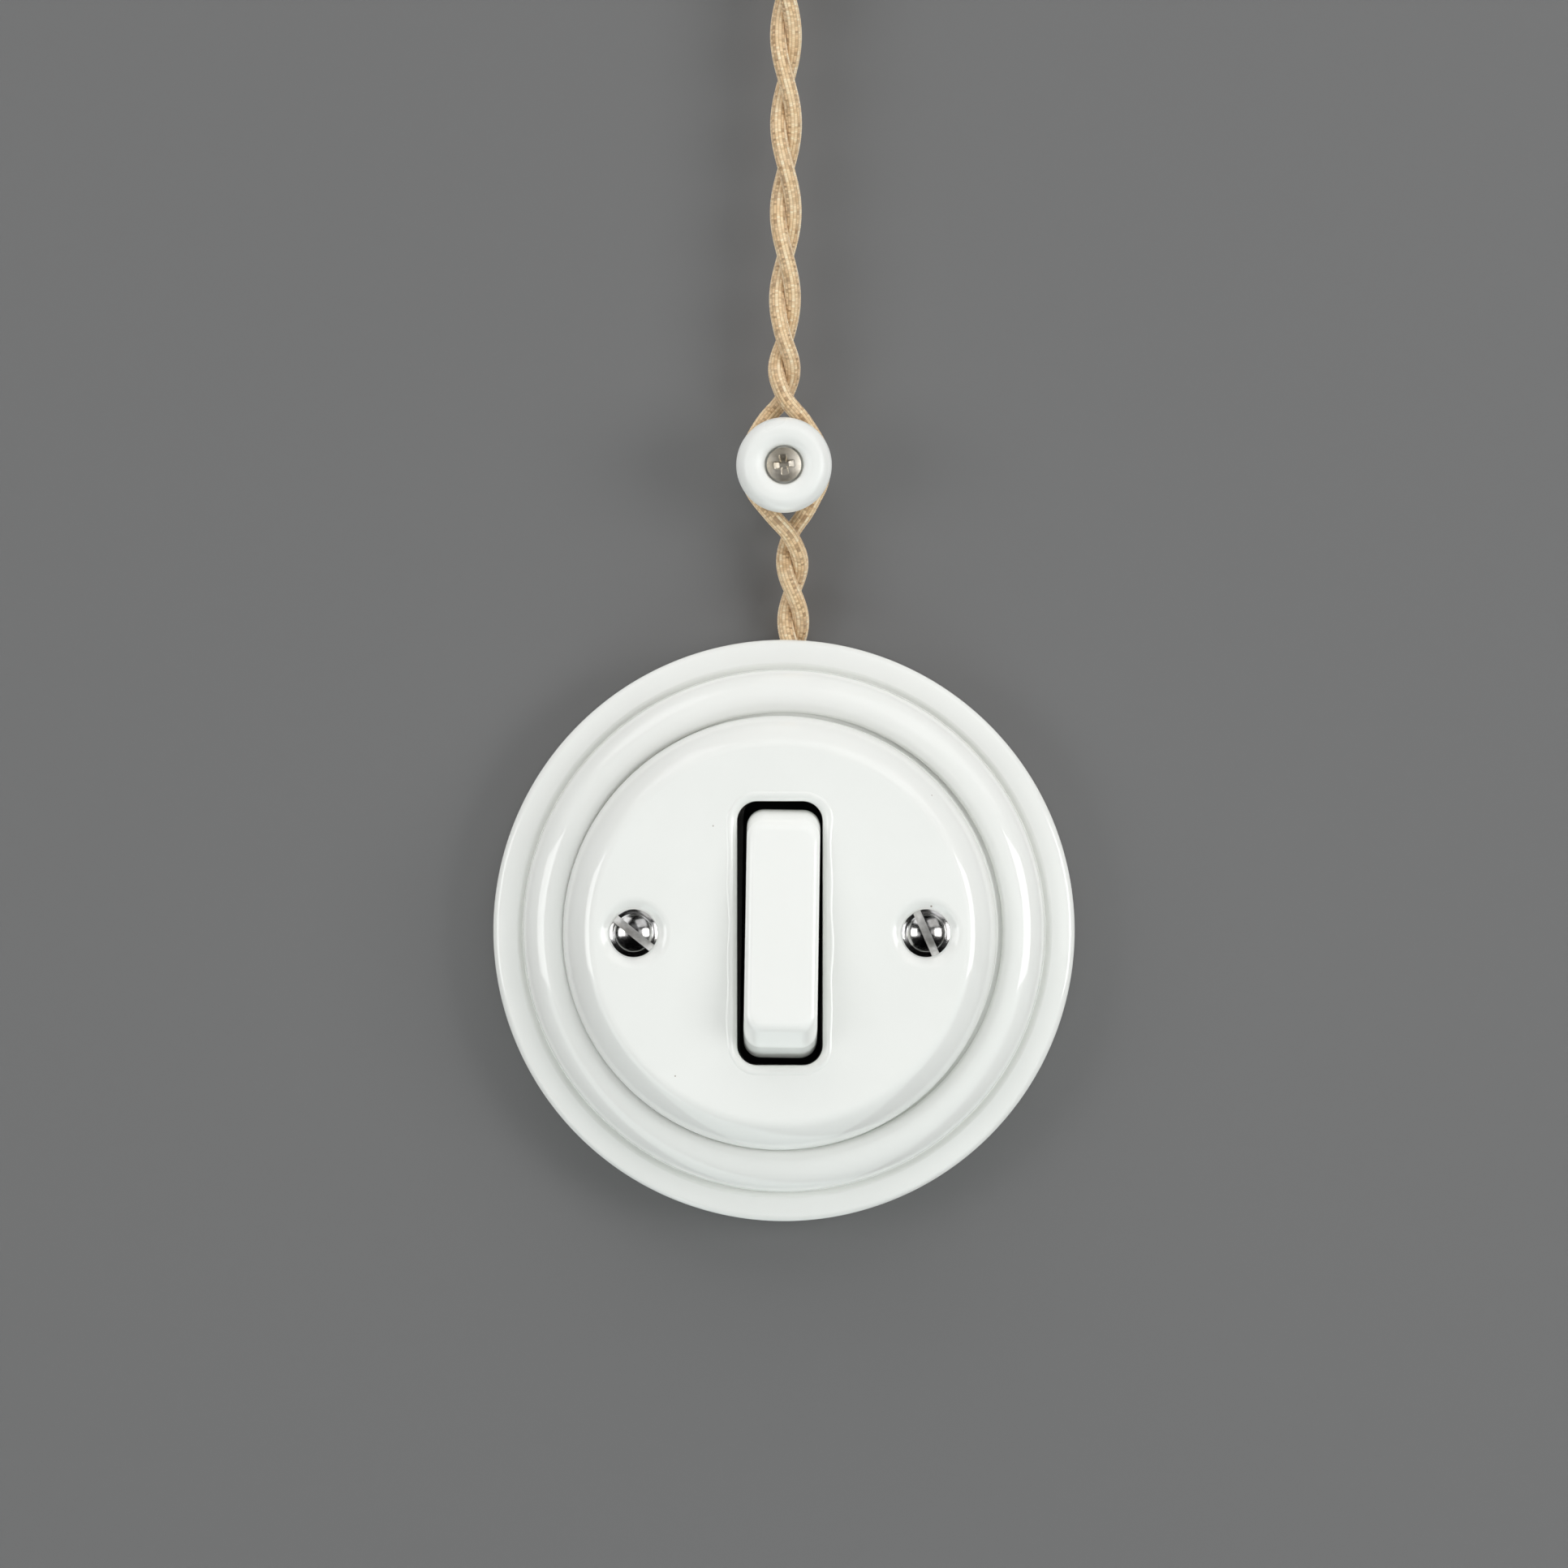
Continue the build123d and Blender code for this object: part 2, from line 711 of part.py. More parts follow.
# --- flex, clamp and wiring -----------------------------------------------------------
def cord_clamp():
    """Moulded bar that presses the flex into the base's groove."""
    x = (flex_entry - clamp_half_length, flex_entry + clamp_half_length)
    bar = block(x, clamp_span, (base_thickness, clamp_top))
    bar = fillet(bar.edges().filter_by(Axis.Y).group_by(Axis.Z)[-1], clamp_round)
    arch = flex_diameter / 2 + running_gap
    bar -= upwise(arch, 20, 40, x=flex_entry, z=flex_height)
    bar -= block((flex_entry - arch, flex_entry + arch), (20, 40), (0, flex_height))
    for place in clamp_screw_places:
        bar -= pillar(clamp_screw[0] + 0.15, 0, 12, place)
    return bar


def cord_clamp_screws():
    """Slotted screws through the cord clamp."""
    shank, *head = clamp_screw
    return [
        small_screw(place, shank, head, groove_floor + 0.6, clamp_top, 15)
        for place in clamp_screw_places
    ]


def in_mechanism(x, y, z):
    """Bench position of a point given in the leaning mechanism's own frame."""
    spot = (MECHANISM * Pos(x, y, z)).position
    return (spot.X, spot.Y, spot.Z)


def core_tail(side):
    """One core of the flex, from the cord clamp to its terminal."""
    x = flex_entry + side * core_spread
    reach = side * terminal_place[0]
    points = [
        (x, 26.0, flex_height),
        (x, 23.2, flex_height),
        in_mechanism(side * 5.6, 20.4, 7.6),
        in_mechanism(reach, 21.8, wire_height),
        in_mechanism(reach, wire_span[1], wire_height),
    ]
    return tube("tail", points, tail_diameter)


def bare_conductors():
    """Stripped ends of the two cores inside their terminals."""
    return [
        MECHANISM * upwise(wire_radius, *wire_span, x=side * terminal_place[0], z=wire_height)
        for side in (-1, 1)
    ]


def run_between(start, end):
    return (Vector(*end) - Vector(*start)).normalized()


def beside(point, run, side):
    """Centre of one core in the plane that is square to the flex's run."""
    right = Vector(1, 0, 0)
    right = (right - run * right.dot(run)).normalized()
    return Vector(*point) + right * side * core_spread


def core_past_knob(side, start, end, place):
    """One core that leaves a twisted stretch, passes the knob's waist and rejoins."""
    wide = knob_waist_radius + core_diameter / 2 + 0.15
    (first, run_in), (last, run_out) = start, end
    first = beside(first, run_in, side)
    last = beside(last, run_out, side)
    points = [
        first,
        first + run_in * core_lead,
        Vector(place[0] + side * wide, place[1] - 2.6, knob_groove_height),
        Vector(place[0] + side * (wide - 0.1), place[1] + 2.8, knob_groove_height),
        last - run_out * core_lead,
        last,
    ]
    return tube("core", [tuple(point) for point in points], core_diameter)


def core_at_knob(side):
    start = (LOWER_FLEX[-1], run_between(LOWER_FLEX[-2], LOWER_FLEX[-1]))
    end = (UPPER_FLEX[0], run_between(*UPPER_FLEX))
    return core_past_knob(side, start, end, knob_place)


def core_at_end(side):
    start = (UPPER_FLEX[-1], run_between(*UPPER_FLEX))
    end = (FLEX_END, Vector(0, 1, 0))
    return core_past_knob(side, start, end, far_knob_place)


def ferrule(side):
    """Crimped sleeve on the free end of a core."""
    x, y, z = FLEX_END
    x += side * core_spread
    collar_radius, collar_length = ferrule_collar
    sleeve = upwise(collar_radius, y, y + collar_length, x=x, z=z)
    return sleeve + upwise(ferrule_radius, y, y + ferrule_length, x=x, z=z)


# --- write every piece -----------------------------------------------------------------
def all_pieces():
    pieces = {
        "wall_ring": wall_ring(),
        "cover_plate": cover_plate(),
        "cover_screw_left": cover_screw(-1, left_slot_angle),
        "cover_screw_right": cover_screw(1, right_slot_angle),
        "cover_inserts": cover_inserts(),
        "base_plate": base_plate(),
        "base_inserts": base_inserts(),
        "mechanism_housing": mechanism_housing(),
        "housing_screws": housing_screws(),
        "rocker_key": rocker_key(),
        "pivot_pins": pivot_pins(),
        "plunger": plunger(),
        "plunger_spring": plunger_spring(),
        "contact_seesaw": contact_seesaw(),
        "seesaw_contacts": seesaw_contacts(),
        "common_contact": common_contact(),
        "fixed_contact_upper": fixed_contact(1),
        "fixed_contact_lower": fixed_contact(-1),
        "fixed_contact_tips": fixed_tips(),
        "terminal_screws": terminal_screws(),
        "bare_conductors": bare_conductors(),
        "cord_clamp": cord_clamp(),
        "cord_clamp_screws": cord_clamp_screws(),
        "flex_lower": tube("flex", LOWER_FLEX, flex_diameter),
        "flex_upper": tube("flex", UPPER_FLEX, flex_diameter),
        "knob_insulator": knob(knob_place),
        "knob_screw": knob_screw(knob_place),
        "far_knob_insulator": knob(far_knob_place),
        "far_knob_screw": knob_screw(far_knob_place),
    }
    for name, sides in terminals.items():
        pieces[f"terminal_{name}"] = terminal(*sides)
    for name, side in (("left", -1), ("right", 1)):
        pieces[f"core_tail_{name}"] = core_tail(side)
        pieces[f"core_{name}_at_knob"] = core_at_knob(side)
        pieces[f"core_{name}_at_end"] = core_at_end(side)
        pieces[f"ferrule_{name}"] = ferrule(side)
    return pieces


os.makedirs("parts", exist_ok=True)
for name, piece in all_pieces().items():
    solids = piece if isinstance(piece, list) else [piece]
    upright = [FRONT * solid for solid in solids]
    shape = upright[0] if len(upright) == 1 else Compound(children=upright)
    export_step(shape, f"parts/{name}.step")
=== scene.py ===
import json
from math import cos, pi, radians, sin

import bmesh
import bpy
import numpy as np
from mathutils import Matrix, Vector


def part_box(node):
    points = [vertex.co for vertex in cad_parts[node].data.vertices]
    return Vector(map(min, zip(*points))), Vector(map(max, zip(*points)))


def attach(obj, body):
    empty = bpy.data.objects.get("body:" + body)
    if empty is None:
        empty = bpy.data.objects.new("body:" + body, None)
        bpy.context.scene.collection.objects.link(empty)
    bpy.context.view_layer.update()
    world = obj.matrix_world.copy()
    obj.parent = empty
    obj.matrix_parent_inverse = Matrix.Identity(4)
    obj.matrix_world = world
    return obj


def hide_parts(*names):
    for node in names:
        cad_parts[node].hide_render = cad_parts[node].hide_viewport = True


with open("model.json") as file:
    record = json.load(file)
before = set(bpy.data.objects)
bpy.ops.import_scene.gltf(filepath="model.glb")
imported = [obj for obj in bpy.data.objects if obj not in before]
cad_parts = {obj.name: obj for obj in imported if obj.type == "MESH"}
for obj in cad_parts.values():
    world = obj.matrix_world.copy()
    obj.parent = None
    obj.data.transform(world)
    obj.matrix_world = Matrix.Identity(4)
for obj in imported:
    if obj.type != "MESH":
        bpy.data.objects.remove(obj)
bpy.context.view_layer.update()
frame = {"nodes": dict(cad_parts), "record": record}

# A round porcelain rocker switch on a wall, fed by a twisted textile flex. Metres.
MM = 0.001

# --- cords: the flex's route, from its clamp to its free end -----------------------
FLEX_ROUTE = [
    (0.0015, -0.00375, 0.0260),
    (0.0017, -0.00375, 0.0530),
    (0.0013, -0.0074, 0.0686),
    (0.0000, -0.0080, 0.0799),
    (0.0000, -0.0080, 0.0926),
    (0.0004, -0.0080, 0.1310),
    (0.0003, -0.0080, 0.1708),
    (0.0000, -0.0080, 0.1834),
    (0.0000, -0.0080, 0.1995),
]
CORE_DIAMETER = 2.8 * MM
CORE_LENGTH = 0.188
# Height up the wall, half turns of twist from the first knob, and the distance of
# each core from the flex's middle.
TWIST = [
    (0.0260, -4.00, 0.00142),
    (0.0480, -2.50, 0.00132),
    (0.0585, -1.50, 0.00131),
    (0.0679, -0.50, 0.00142),
    (0.0715, -0.12, 0.00300),
    (0.0765, 0.00, 0.00610),
    (0.0799, 0.00, 0.00635),
    (0.0833, 0.00, 0.00600),
    (0.0880, 0.12, 0.00340),
    (0.0919, 0.50, 0.00142),
    (0.1013, 1.50, 0.00131),
    (0.1160, 2.50, 0.00131),
    (0.1311, 3.50, 0.00131),
    (0.1463, 4.50, 0.00131),
    (0.1615, 5.50, 0.00131),
    (0.1714, 6.50, 0.00142),
    (0.1752, 6.88, 0.00300),
    (0.1800, 7.00, 0.00610),
    (0.1834, 7.00, 0.00635),
    (0.1868, 7.00, 0.00600),
    (0.1915, 7.00, 0.00300),
    (0.1950, 7.00, 0.00142),
    (0.1995, 7.00, 0.00142),
]
TWIST_BLUR = 1.0 * MM
STATION_STEP = 0.1 * MM
ROUTE_STEP = 0.25 * MM
BRAID_COLUMNS = 14
BRAID_RELIEF = 0.13 * MM
BRAID_SWELL = 0.06 * MM
STITCH_LENGTH = 0.36 * MM
STITCH_SLANT = 0.35
STITCH_SHIFT = 0.25
STITCH_RISE = 0.3
STRAND_SHARE = 0.5
RING_STEP = 0.14 * MM
RING_POINTS = 56


def line_of(points):
    """Evenly spaced points along the smooth line that a route's points control."""
    curve = bpy.data.curves.new("route", "CURVE")
    curve.dimensions = "3D"
    curve.resolution_u = 64
    spline = curve.splines.new("NURBS")
    spline.points.add(len(points) - 1)
    for knot, point in zip(spline.points, points):
        knot.co = (*point, 1)
    spline.order_u = 3
    spline.use_endpoint_u = True
    guide = bpy.data.objects.new("route", curve)
    mesh = bpy.data.meshes.new_from_object(guide)
    line = np.array([vertex.co for vertex in mesh.vertices])
    bpy.data.objects.remove(guide)
    bpy.data.meshes.remove(mesh)
    bpy.data.curves.remove(curve)
    return line


def evenly(line, step):
    """The same line with points a step apart."""
    travel = np.concatenate([[0], np.cumsum(np.linalg.norm(np.diff(line, axis=0), axis=1))])
    count = max(2, int(round(travel[-1] / step)) + 1)
    wanted = np.linspace(0, travel[-1], count)
    return np.stack([np.interp(wanted, travel, line[:, axis]) for axis in range(3)], axis=1)


def tangents(line):
    """Unit directions along a line."""
    step = np.gradient(line, axis=0)
    return step / np.linalg.norm(step, axis=1)[:, None]


def smoothed(heights, values, spots):
    """Values between stations, blurred so that they change gently."""
    fine = np.arange(heights[0], heights[-1], STATION_STEP)
    rough = np.interp(fine, heights, values)
    reach = int(2.5 * TWIST_BLUR / STATION_STEP)
    kernel = np.exp(-0.5 * (np.arange(-reach, reach + 1) * STATION_STEP / TWIST_BLUR) ** 2)
    padded = np.pad(rough, reach, mode="edge")
    return np.interp(spots, fine, np.convolve(padded, kernel / kernel.sum(), mode="valid"))


def core_line(side):
    """Middle of one core, which winds about the flex's route and parts at the knobs."""
    middle = evenly(line_of(FLEX_ROUTE), ROUTE_STEP)
    along = tangents(middle)
    right = np.array([1.0, 0, 0]) - along * along[:, :1]
    right /= np.linalg.norm(right, axis=1)[:, None]
    front = np.cross(right, along)
    front *= np.sign(-front[:, 1:2])
    heights, half_turns, spreads = (np.array(column) for column in zip(*TWIST))
    turn = pi * smoothed(heights, half_turns, middle[:, 2])
    spread = smoothed(heights, spreads, middle[:, 2])
    offset = np.cos(turn)[:, None] * right + np.sin(turn)[:, None] * front
    return middle + side * spread[:, None] * offset


def carried_frames(line):
    """Directions square to a line that turn with it and don't spin about it."""
    along = tangents(line)
    across = np.array([1.0, 0, 0]) - along[0] * along[0][0]
    frames = []
    for direction in along:
        across = across - direction * np.dot(across, direction)
        across /= np.linalg.norm(across)
        frames.append((across.copy(), np.cross(direction, across)))
    return frames


def braid_height(turn, travel):
    """Relief of a braided sleeve: columns of stitches that slant alternately."""
    column = turn * BRAID_COLUMNS
    across = (column % 1) * 2 - 1
    slant = np.where(np.floor(column) % 2 == 0, 1, -1)
    stitch = travel / STITCH_LENGTH + STITCH_SLANT * slant * across + STITCH_SHIFT * slant
    rib = np.sqrt(np.clip(1 - across**2, 0, 1))
    return rib * (1 - STITCH_RISE + STITCH_RISE * np.cos(2 * pi * stitch))


def tube_mesh(name, line, radius, relief):
    """Closed tube along a line, with the turn and the travel in its UV map."""
    frames = carried_frames(line)
    travel = np.concatenate([[0], np.cumsum(np.linalg.norm(np.diff(line, axis=0), axis=1))])
    turns = np.arange(RING_POINTS) / RING_POINTS
    rings = []
    for centre, (across, up), distance in zip(line, frames, travel):
        height = radius - relief + relief * braid_height(turns, distance)
        angle = 2 * pi * turns
        ring = np.cos(angle)[:, None] * across + np.sin(angle)[:, None] * up
        rings.append(centre + ring * height[:, None])
    points = np.concatenate([*rings, line[:1], line[-1:]])
    faces = []
    for ring in range(len(line) - 1):
        for spot in range(RING_POINTS):
            after = (spot + 1) % RING_POINTS
            low, high = ring * RING_POINTS, (ring + 1) * RING_POINTS
            faces.append((low + spot, low + after, high + after, high + spot))
    first, last = len(points) - 2, len(points) - 1
    top = (len(line) - 1) * RING_POINTS
    for spot in range(RING_POINTS):
        after = (spot + 1) % RING_POINTS
        faces.append((first, after, spot))
        faces.append((last, top + spot, top + after))
    mesh = bpy.data.meshes.new(name)
    mesh.from_pydata(points.tolist(), [], faces)
    layer = mesh.uv_layers.new(name="UVMap")
    corner_vertex = np.empty(len(mesh.loops), int)
    mesh.loops.foreach_get("vertex_index", corner_vertex)
    ring_of = np.clip(corner_vertex // RING_POINTS, 0, len(line) - 1)
    turn_of = (corner_vertex % RING_POINTS) / RING_POINTS
    # The last face of each ring closes it, so its far corners are at a full turn.
    corner = np.arange(len(corner_vertex))
    in_quad = corner < (len(line) - 1) * RING_POINTS * 4
    closes_ring = in_quad & ((corner // 4) % RING_POINTS == RING_POINTS - 1)
    turn_of = np.where(closes_ring & (turn_of == 0), 1.0, turn_of)
    uv = np.stack([turn_of, travel[ring_of] / CORE_LENGTH], axis=1)
    layer.data.foreach_set("uv", uv.ravel())
    mesh.shade_smooth()
    return mesh


def place(name, mesh, body="base"):
    """Piece in the scene that rides on a body."""
    piece = bpy.data.objects.new(name, mesh)
    bpy.context.scene.collection.objects.link(piece)
    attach(piece, body)
    return piece


def flex_core(name, side, material):
    """One braided core, with the knob and screw that are listed with it."""
    line = evenly(core_line(side), RING_STEP)
    radius = CORE_DIAMETER / 2 + BRAID_SWELL
    piece = place(f"flex_core_{name}", tube_mesh(f"flex_core_{name}", line, radius, BRAID_RELIEF))
    piece.data.materials.append(material)
    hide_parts("flex_lower", "flex_upper", f"core_{name}_at_knob", f"core_{name}_at_end")
    knob = {"left": "knob", "right": "far_knob"}[name]
    screw = knob_screw(f"{knob}_screw")
    insulator = knob_insulator(f"{knob}_insulator")


# --- porcelain: turned bodies with clean curves ---------------------------------------
# From here to the materials, sizes are in millimetres and heights are out of the wall.
# A curve is a radius and the tilts, in degrees, at which it starts and ends.
ARC_STEP = 3
CORNER_STEPS = 12
SCREW_STEPS = 96
CUTTER_DEPTH = 8
CUTTER_CLEARANCE = 1
SKIM = 0.002
RING_RADIUS = 50.0
RING_FOOT_RADIUS = 45.4
RING_HOLLOW_HEIGHT = 5.0
RING_HOLLOW_RADIUS = 39.8
RING_LEDGE_HEIGHT = 10.95
LIP_CREST = (45.2, 9.6)
LIP_CURVE = 15.0
LIP_TILT = 14.7
LIP_EDGE_CURVE = 1.35
SHOULDER_CREST = (39.45, 15.3)
SHOULDER_CURVE = 5.4
INNER_CURVE = 3.0
INNER_TILT = -27.9
INNER_ROLL = (1.2, -28, -80)
SEAT_INNER_RADIUS = 33.9
SEAT_RADIUS = 36.75
SEAT_HEIGHT = 14.95
SEAT_GROOVE_HEIGHT = 13.6
STEP_GROOVE = [(44.87, 8.9), (45.05, 8.8), (45.25, 8.95), (45.45, 9.2), (45.7, 9.42), (46.0, 9.54)]
NOTCH = (1.5, 3.75, 3.2)

COVER_CENTRE = (-0.7, -0.3)
COVER_FLAT_RADIUS = 31.6
COVER_SHOULDER = (3.3, 0, 36)
COVER_EDGE = (9.2, 36, 80)
COVER_RIM_ROUND = 0.5
COVER_BACK = [(33.4, 14.95), (33.4, 16.25), (31.2, 18.2), (3.0, 18.2)]
SLOT_SIZE = (14.6, 45.1)
SLOT_CORNER = 3.4
SLOT_ROLL = 1.4
SLOT_WAVE = 0.00833
SLOT_STEP = 1.5
SLOT_BEAD = (1.75, 1.3, 0.15)
BEAD_ROOT = 0.4
BEAD_STEPS = 6
DISH_RADIUS = 6.5
DISH_CURVE = 2.6
DISH_TILT = -32
DISH_SEAT = (4.4, -0.9)
SCREW_SPACING = 50.0
SCREW_HOLE_RADIUS = 2.3


def arc(start, radius, tilt_from, tilt_to):
    """Points along a curve in (radius, height): 0 degrees faces out of the wall, 90 outwards."""
    count = max(2, int(abs(tilt_to - tilt_from) / ARC_STEP))
    tilts = [radians(tilt_from + (tilt_to - tilt_from) * step / count) for step in range(count + 1)]
    across = [start[0] + radius * (sin(tilt) - sin(tilts[0])) for tilt in tilts]
    height = [start[1] + radius * (cos(tilt) - cos(tilts[0])) for tilt in tilts]
    return list(zip(across, height))


def lofted(name, rings, closed=True):
    """Mesh through rings of points; the last ring joins the first one, or both ends are filled."""
    points = [point for ring in rings for point in ring]
    size = len(rings[0])
    faces = []
    for low in range(len(rings) if closed else len(rings) - 1):
        high = (low + 1) % len(rings)
        for spot in range(size):
            after = (spot + 1) % size
            faces.append((low * size + spot, low * size + after, high * size + after, high * size + spot))
    if not closed:
        faces.append(tuple(reversed(range(size))))
        faces.append(tuple(range((len(rings) - 1) * size, len(rings) * size)))
    mesh = bpy.data.meshes.new(name)
    mesh.from_pydata(points, [], faces)
    shape = bmesh.new()
    shape.from_mesh(mesh)
    bmesh.ops.recalc_face_normals(shape, faces=shape.faces)
    shape.to_mesh(mesh)
    shape.free()
    return mesh


def upright(x, y, z):
    """Bench millimetres (right, up, out of the wall) to the scene's metres."""
    return (x * MM, -z * MM, y * MM)


def turned(name, outline, centre=(0, 0), steps=360, closed=True):
    """Body turned about the line that stands out of the wall at a centre."""
    angles = [2 * pi * step / steps for step in range(steps)]
    x, y = centre
    rings = []
    for radius, height in outline:
        rings.append([upright(x + radius * cos(a), y + radius * sin(a), height) for a in angles])
    return lofted(name, rings, closed)


def cut_by(mesh, *cutters, way="DIFFERENCE"):
    """The mesh with each cutter taken out of it, or joined to it."""
    body = bpy.data.objects.new("body", mesh)
    bpy.context.scene.collection.objects.link(body)
    tools = []
    for cutter in cutters:
        tool = bpy.data.objects.new("tool", cutter)
        bpy.context.scene.collection.objects.link(tool)
        tools.append(tool)
        cut = body.modifiers.new("cut", "BOOLEAN")
        cut.operation = way
        cut.solver = "EXACT"
        cut.object = tool
    result = bpy.data.meshes.new_from_object(body.evaluated_get(bpy.context.evaluated_depsgraph_get()))
    for spare in (body, *tools):
        bpy.data.objects.remove(spare)
    result.name = mesh.name
    return result


def finished(mesh, material, node, body="base"):
    """Piece that stands for a CAD node, with smooth shading between its sharp edges."""
    mesh.shade_smooth()
    mesh.set_sharp_from_angle(angle=radians(32))
    piece = place(mesh.name, mesh, body)
    piece.data.materials.clear()
    piece.data.materials.append(material)
    weighted = piece.modifiers.new("even_shading", "WEIGHTED_NORMAL")
    weighted.keep_sharp = True
    weighted.weight = 100
    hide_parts(node)
    return piece


def ring_outline():
    """The ring's section: lip, rim, hollow back, seat, crest and the groove at the step."""
    lip = [point for point in arc(LIP_CREST, LIP_CURVE, 0, LIP_TILT) if point[0] > STEP_GROOVE[-1][0]]
    rim = arc(lip[-1], LIP_EDGE_CURVE, LIP_TILT, 90)
    back = [
        (rim[-1][0], 0),
        (RING_FOOT_RADIUS, 0),
        (RING_FOOT_RADIUS, RING_HOLLOW_HEIGHT),
        (RING_HOLLOW_RADIUS, RING_LEDGE_HEIGHT),
        (SEAT_INNER_RADIUS, RING_LEDGE_HEIGHT),
        (SEAT_INNER_RADIUS, SEAT_HEIGHT),
        (SEAT_RADIUS, SEAT_HEIGHT),
        (SEAT_RADIUS, SEAT_GROOVE_HEIGHT),
    ]
    inner = arc(SHOULDER_CREST, INNER_CURVE, 0, INNER_TILT)
    inner += arc(inner[-1], *INNER_ROLL)[1:]
    outer = arc(SHOULDER_CREST, SHOULDER_CURVE, 0, 90)
    back.append((inner[-1][0], SEAT_GROOVE_HEIGHT))
    return lip + rim[1:] + back + inner[::-1] + outer[1:] + STEP_GROOVE


def notch_cutter():
    """Round-topped channel under the ring for the flex."""
    x, height, radius = NOTCH
    arch = [(x + radius * cos(radians(a)), height + radius * sin(radians(a))) for a in range(0, 181, 10)]
    section = [(x + radius, -1.0), *arch, (x - radius, -1.0)]
    ends = (RING_RADIUS - 10, RING_RADIUS + 5)
    return lofted("notch", [[upright(u, end, out) for u, out in section] for end in ends], closed=False)


def wall_ring():
    mesh = cut_by(turned("wall_ring_glazed", ring_outline()), notch_cutter())
    return finished(mesh, SLOT_MATERIALS["porcelain"], "wall_ring")


def cover_outline():
    """The cover's section, set so that its rim rests on the seat."""
    shoulder = arc((COVER_FLAT_RADIUS, 0), *COVER_SHOULDER)
    edge = arc(shoulder[-1], *COVER_EDGE)
    face = SEAT_HEIGHT + COVER_RIM_ROUND - edge[-1][1]
    front = [(radius, height + face) for radius, height in shoulder + edge[1:]]
    rim = (front[-1][0] - COVER_RIM_ROUND, SEAT_HEIGHT)
    middle = (COVER_BACK[-1][0], face)
    return face, [middle, *front, rim, *COVER_BACK]


def slot_ring(grow, height):
    """Rounded rectangle about the slot; its glazed edge waves a little."""
    ring = []
    half_x, half_y = (size / 2 - SLOT_CORNER for size in SLOT_SIZE)
    for corner, (side_x, side_y) in enumerate([(1, 1), (-1, 1), (-1, -1), (1, -1)]):
        for step in range(CORNER_STEPS + 1):
            angle = pi / 2 * (corner + step / CORNER_STEPS)
            radius = SLOT_CORNER + grow
            ring.append((side_x * half_x + radius * cos(angle), side_y * half_y + radius * sin(angle)))
    dense = []
    for (x0, y0), (x1, y1) in zip(ring, ring[1:] + ring[:1]):
        count = max(1, int(max(abs(x1 - x0), abs(y1 - y0)) / SLOT_STEP))
        for step in range(count):
            x = x0 + (x1 - x0) * step / count
            y = y0 + (y1 - y0) * step / count
            wave = SLOT_WAVE * grow * (sin(0.55 * y + x) + sin(0.23 * y - 0.5 * x))
            dense.append(upright(COVER_CENTRE[0] + x * (1 + wave), COVER_CENTRE[1] + y, height))
    return dense


def slot_bead(face):
    """Low bead of pooled glaze round the slot."""
    outer, inner, rise = SLOT_BEAD
    levels = [(outer, face - BEAD_ROOT)]
    for step in range(BEAD_STEPS + 1):
        grow = outer + (inner - outer) * step / BEAD_STEPS
        levels.append((grow, face + rise * sin(pi / 2 * step / BEAD_STEPS) - SKIM))
    return lofted("bead", [slot_ring(grow, height) for grow, height in levels], closed=False)


def slot_cutter(face):
    """Straight through the cover, and rolled over at the front."""
    levels = [(0, face - CUTTER_DEPTH), (0, face - SLOT_ROLL)]
    for step in range(1, CORNER_STEPS + 1):
        angle = pi / 2 * step / CORNER_STEPS
        levels.append((SLOT_ROLL * (1 - cos(angle)), face + SKIM - SLOT_ROLL * (1 - sin(angle))))
    levels.append((SLOT_ROLL, face + CUTTER_CLEARANCE))
    return lofted("slot", [slot_ring(grow, height) for grow, height in levels], closed=False)


def dish_cutter(face, aside):
    """Dish for a screw's head, rolled over at its edge, and the hole under it."""
    roll = [(r, face + SKIM + h) for r, h in arc((DISH_RADIUS, 0), DISH_CURVE, 0, DISH_TILT)]
    seat = [(DISH_SEAT[0], face + DISH_SEAT[1])]
    hole = [(SCREW_HOLE_RADIUS, face + DISH_SEAT[1]), (SCREW_HOLE_RADIUS, face - CUTTER_DEPTH)]
    outline = [(DISH_RADIUS, face + CUTTER_CLEARANCE), *roll, *seat, *hole]
    centre = (COVER_CENTRE[0] + aside, COVER_CENTRE[1])
    return turned("dish", outline, centre, SCREW_STEPS, closed=False)


def cover_plate():
    face, outline = cover_outline()
    beaded = cut_by(turned("cover_plate_glazed", outline, COVER_CENTRE), slot_bead(face), way="UNION")
    cutters = [slot_cutter(face + SLOT_BEAD[2])]
    cutters += [dish_cutter(face, side * SCREW_SPACING / 2) for side in (-1, 1)]
    return finished(cut_by(beaded, *cutters), SLOT_MATERIALS["porcelain"], "cover_plate")


# --- cover screws, rocker and knobs -------------------------------------------------------
HEAD_TOP = 1.75
HEAD_TIP = 0.02
HEAD_CURVE = (4.66, 0, 45)
HEAD_FLANGE = [(4.1, 0), (4.1, 0.2), (4.0, 0.28), (3.38, 0.36)]
HEAD_SLOT = (1.35, 1.5)
SLOT_REACH = 6
COVER_SCREW_SHANK = 1.9
COVER_SCREW_END = 7.5
SLOT_ANGLES = {"left": -39, "right": -66}
SLOT_SOFTNESS = 0.13

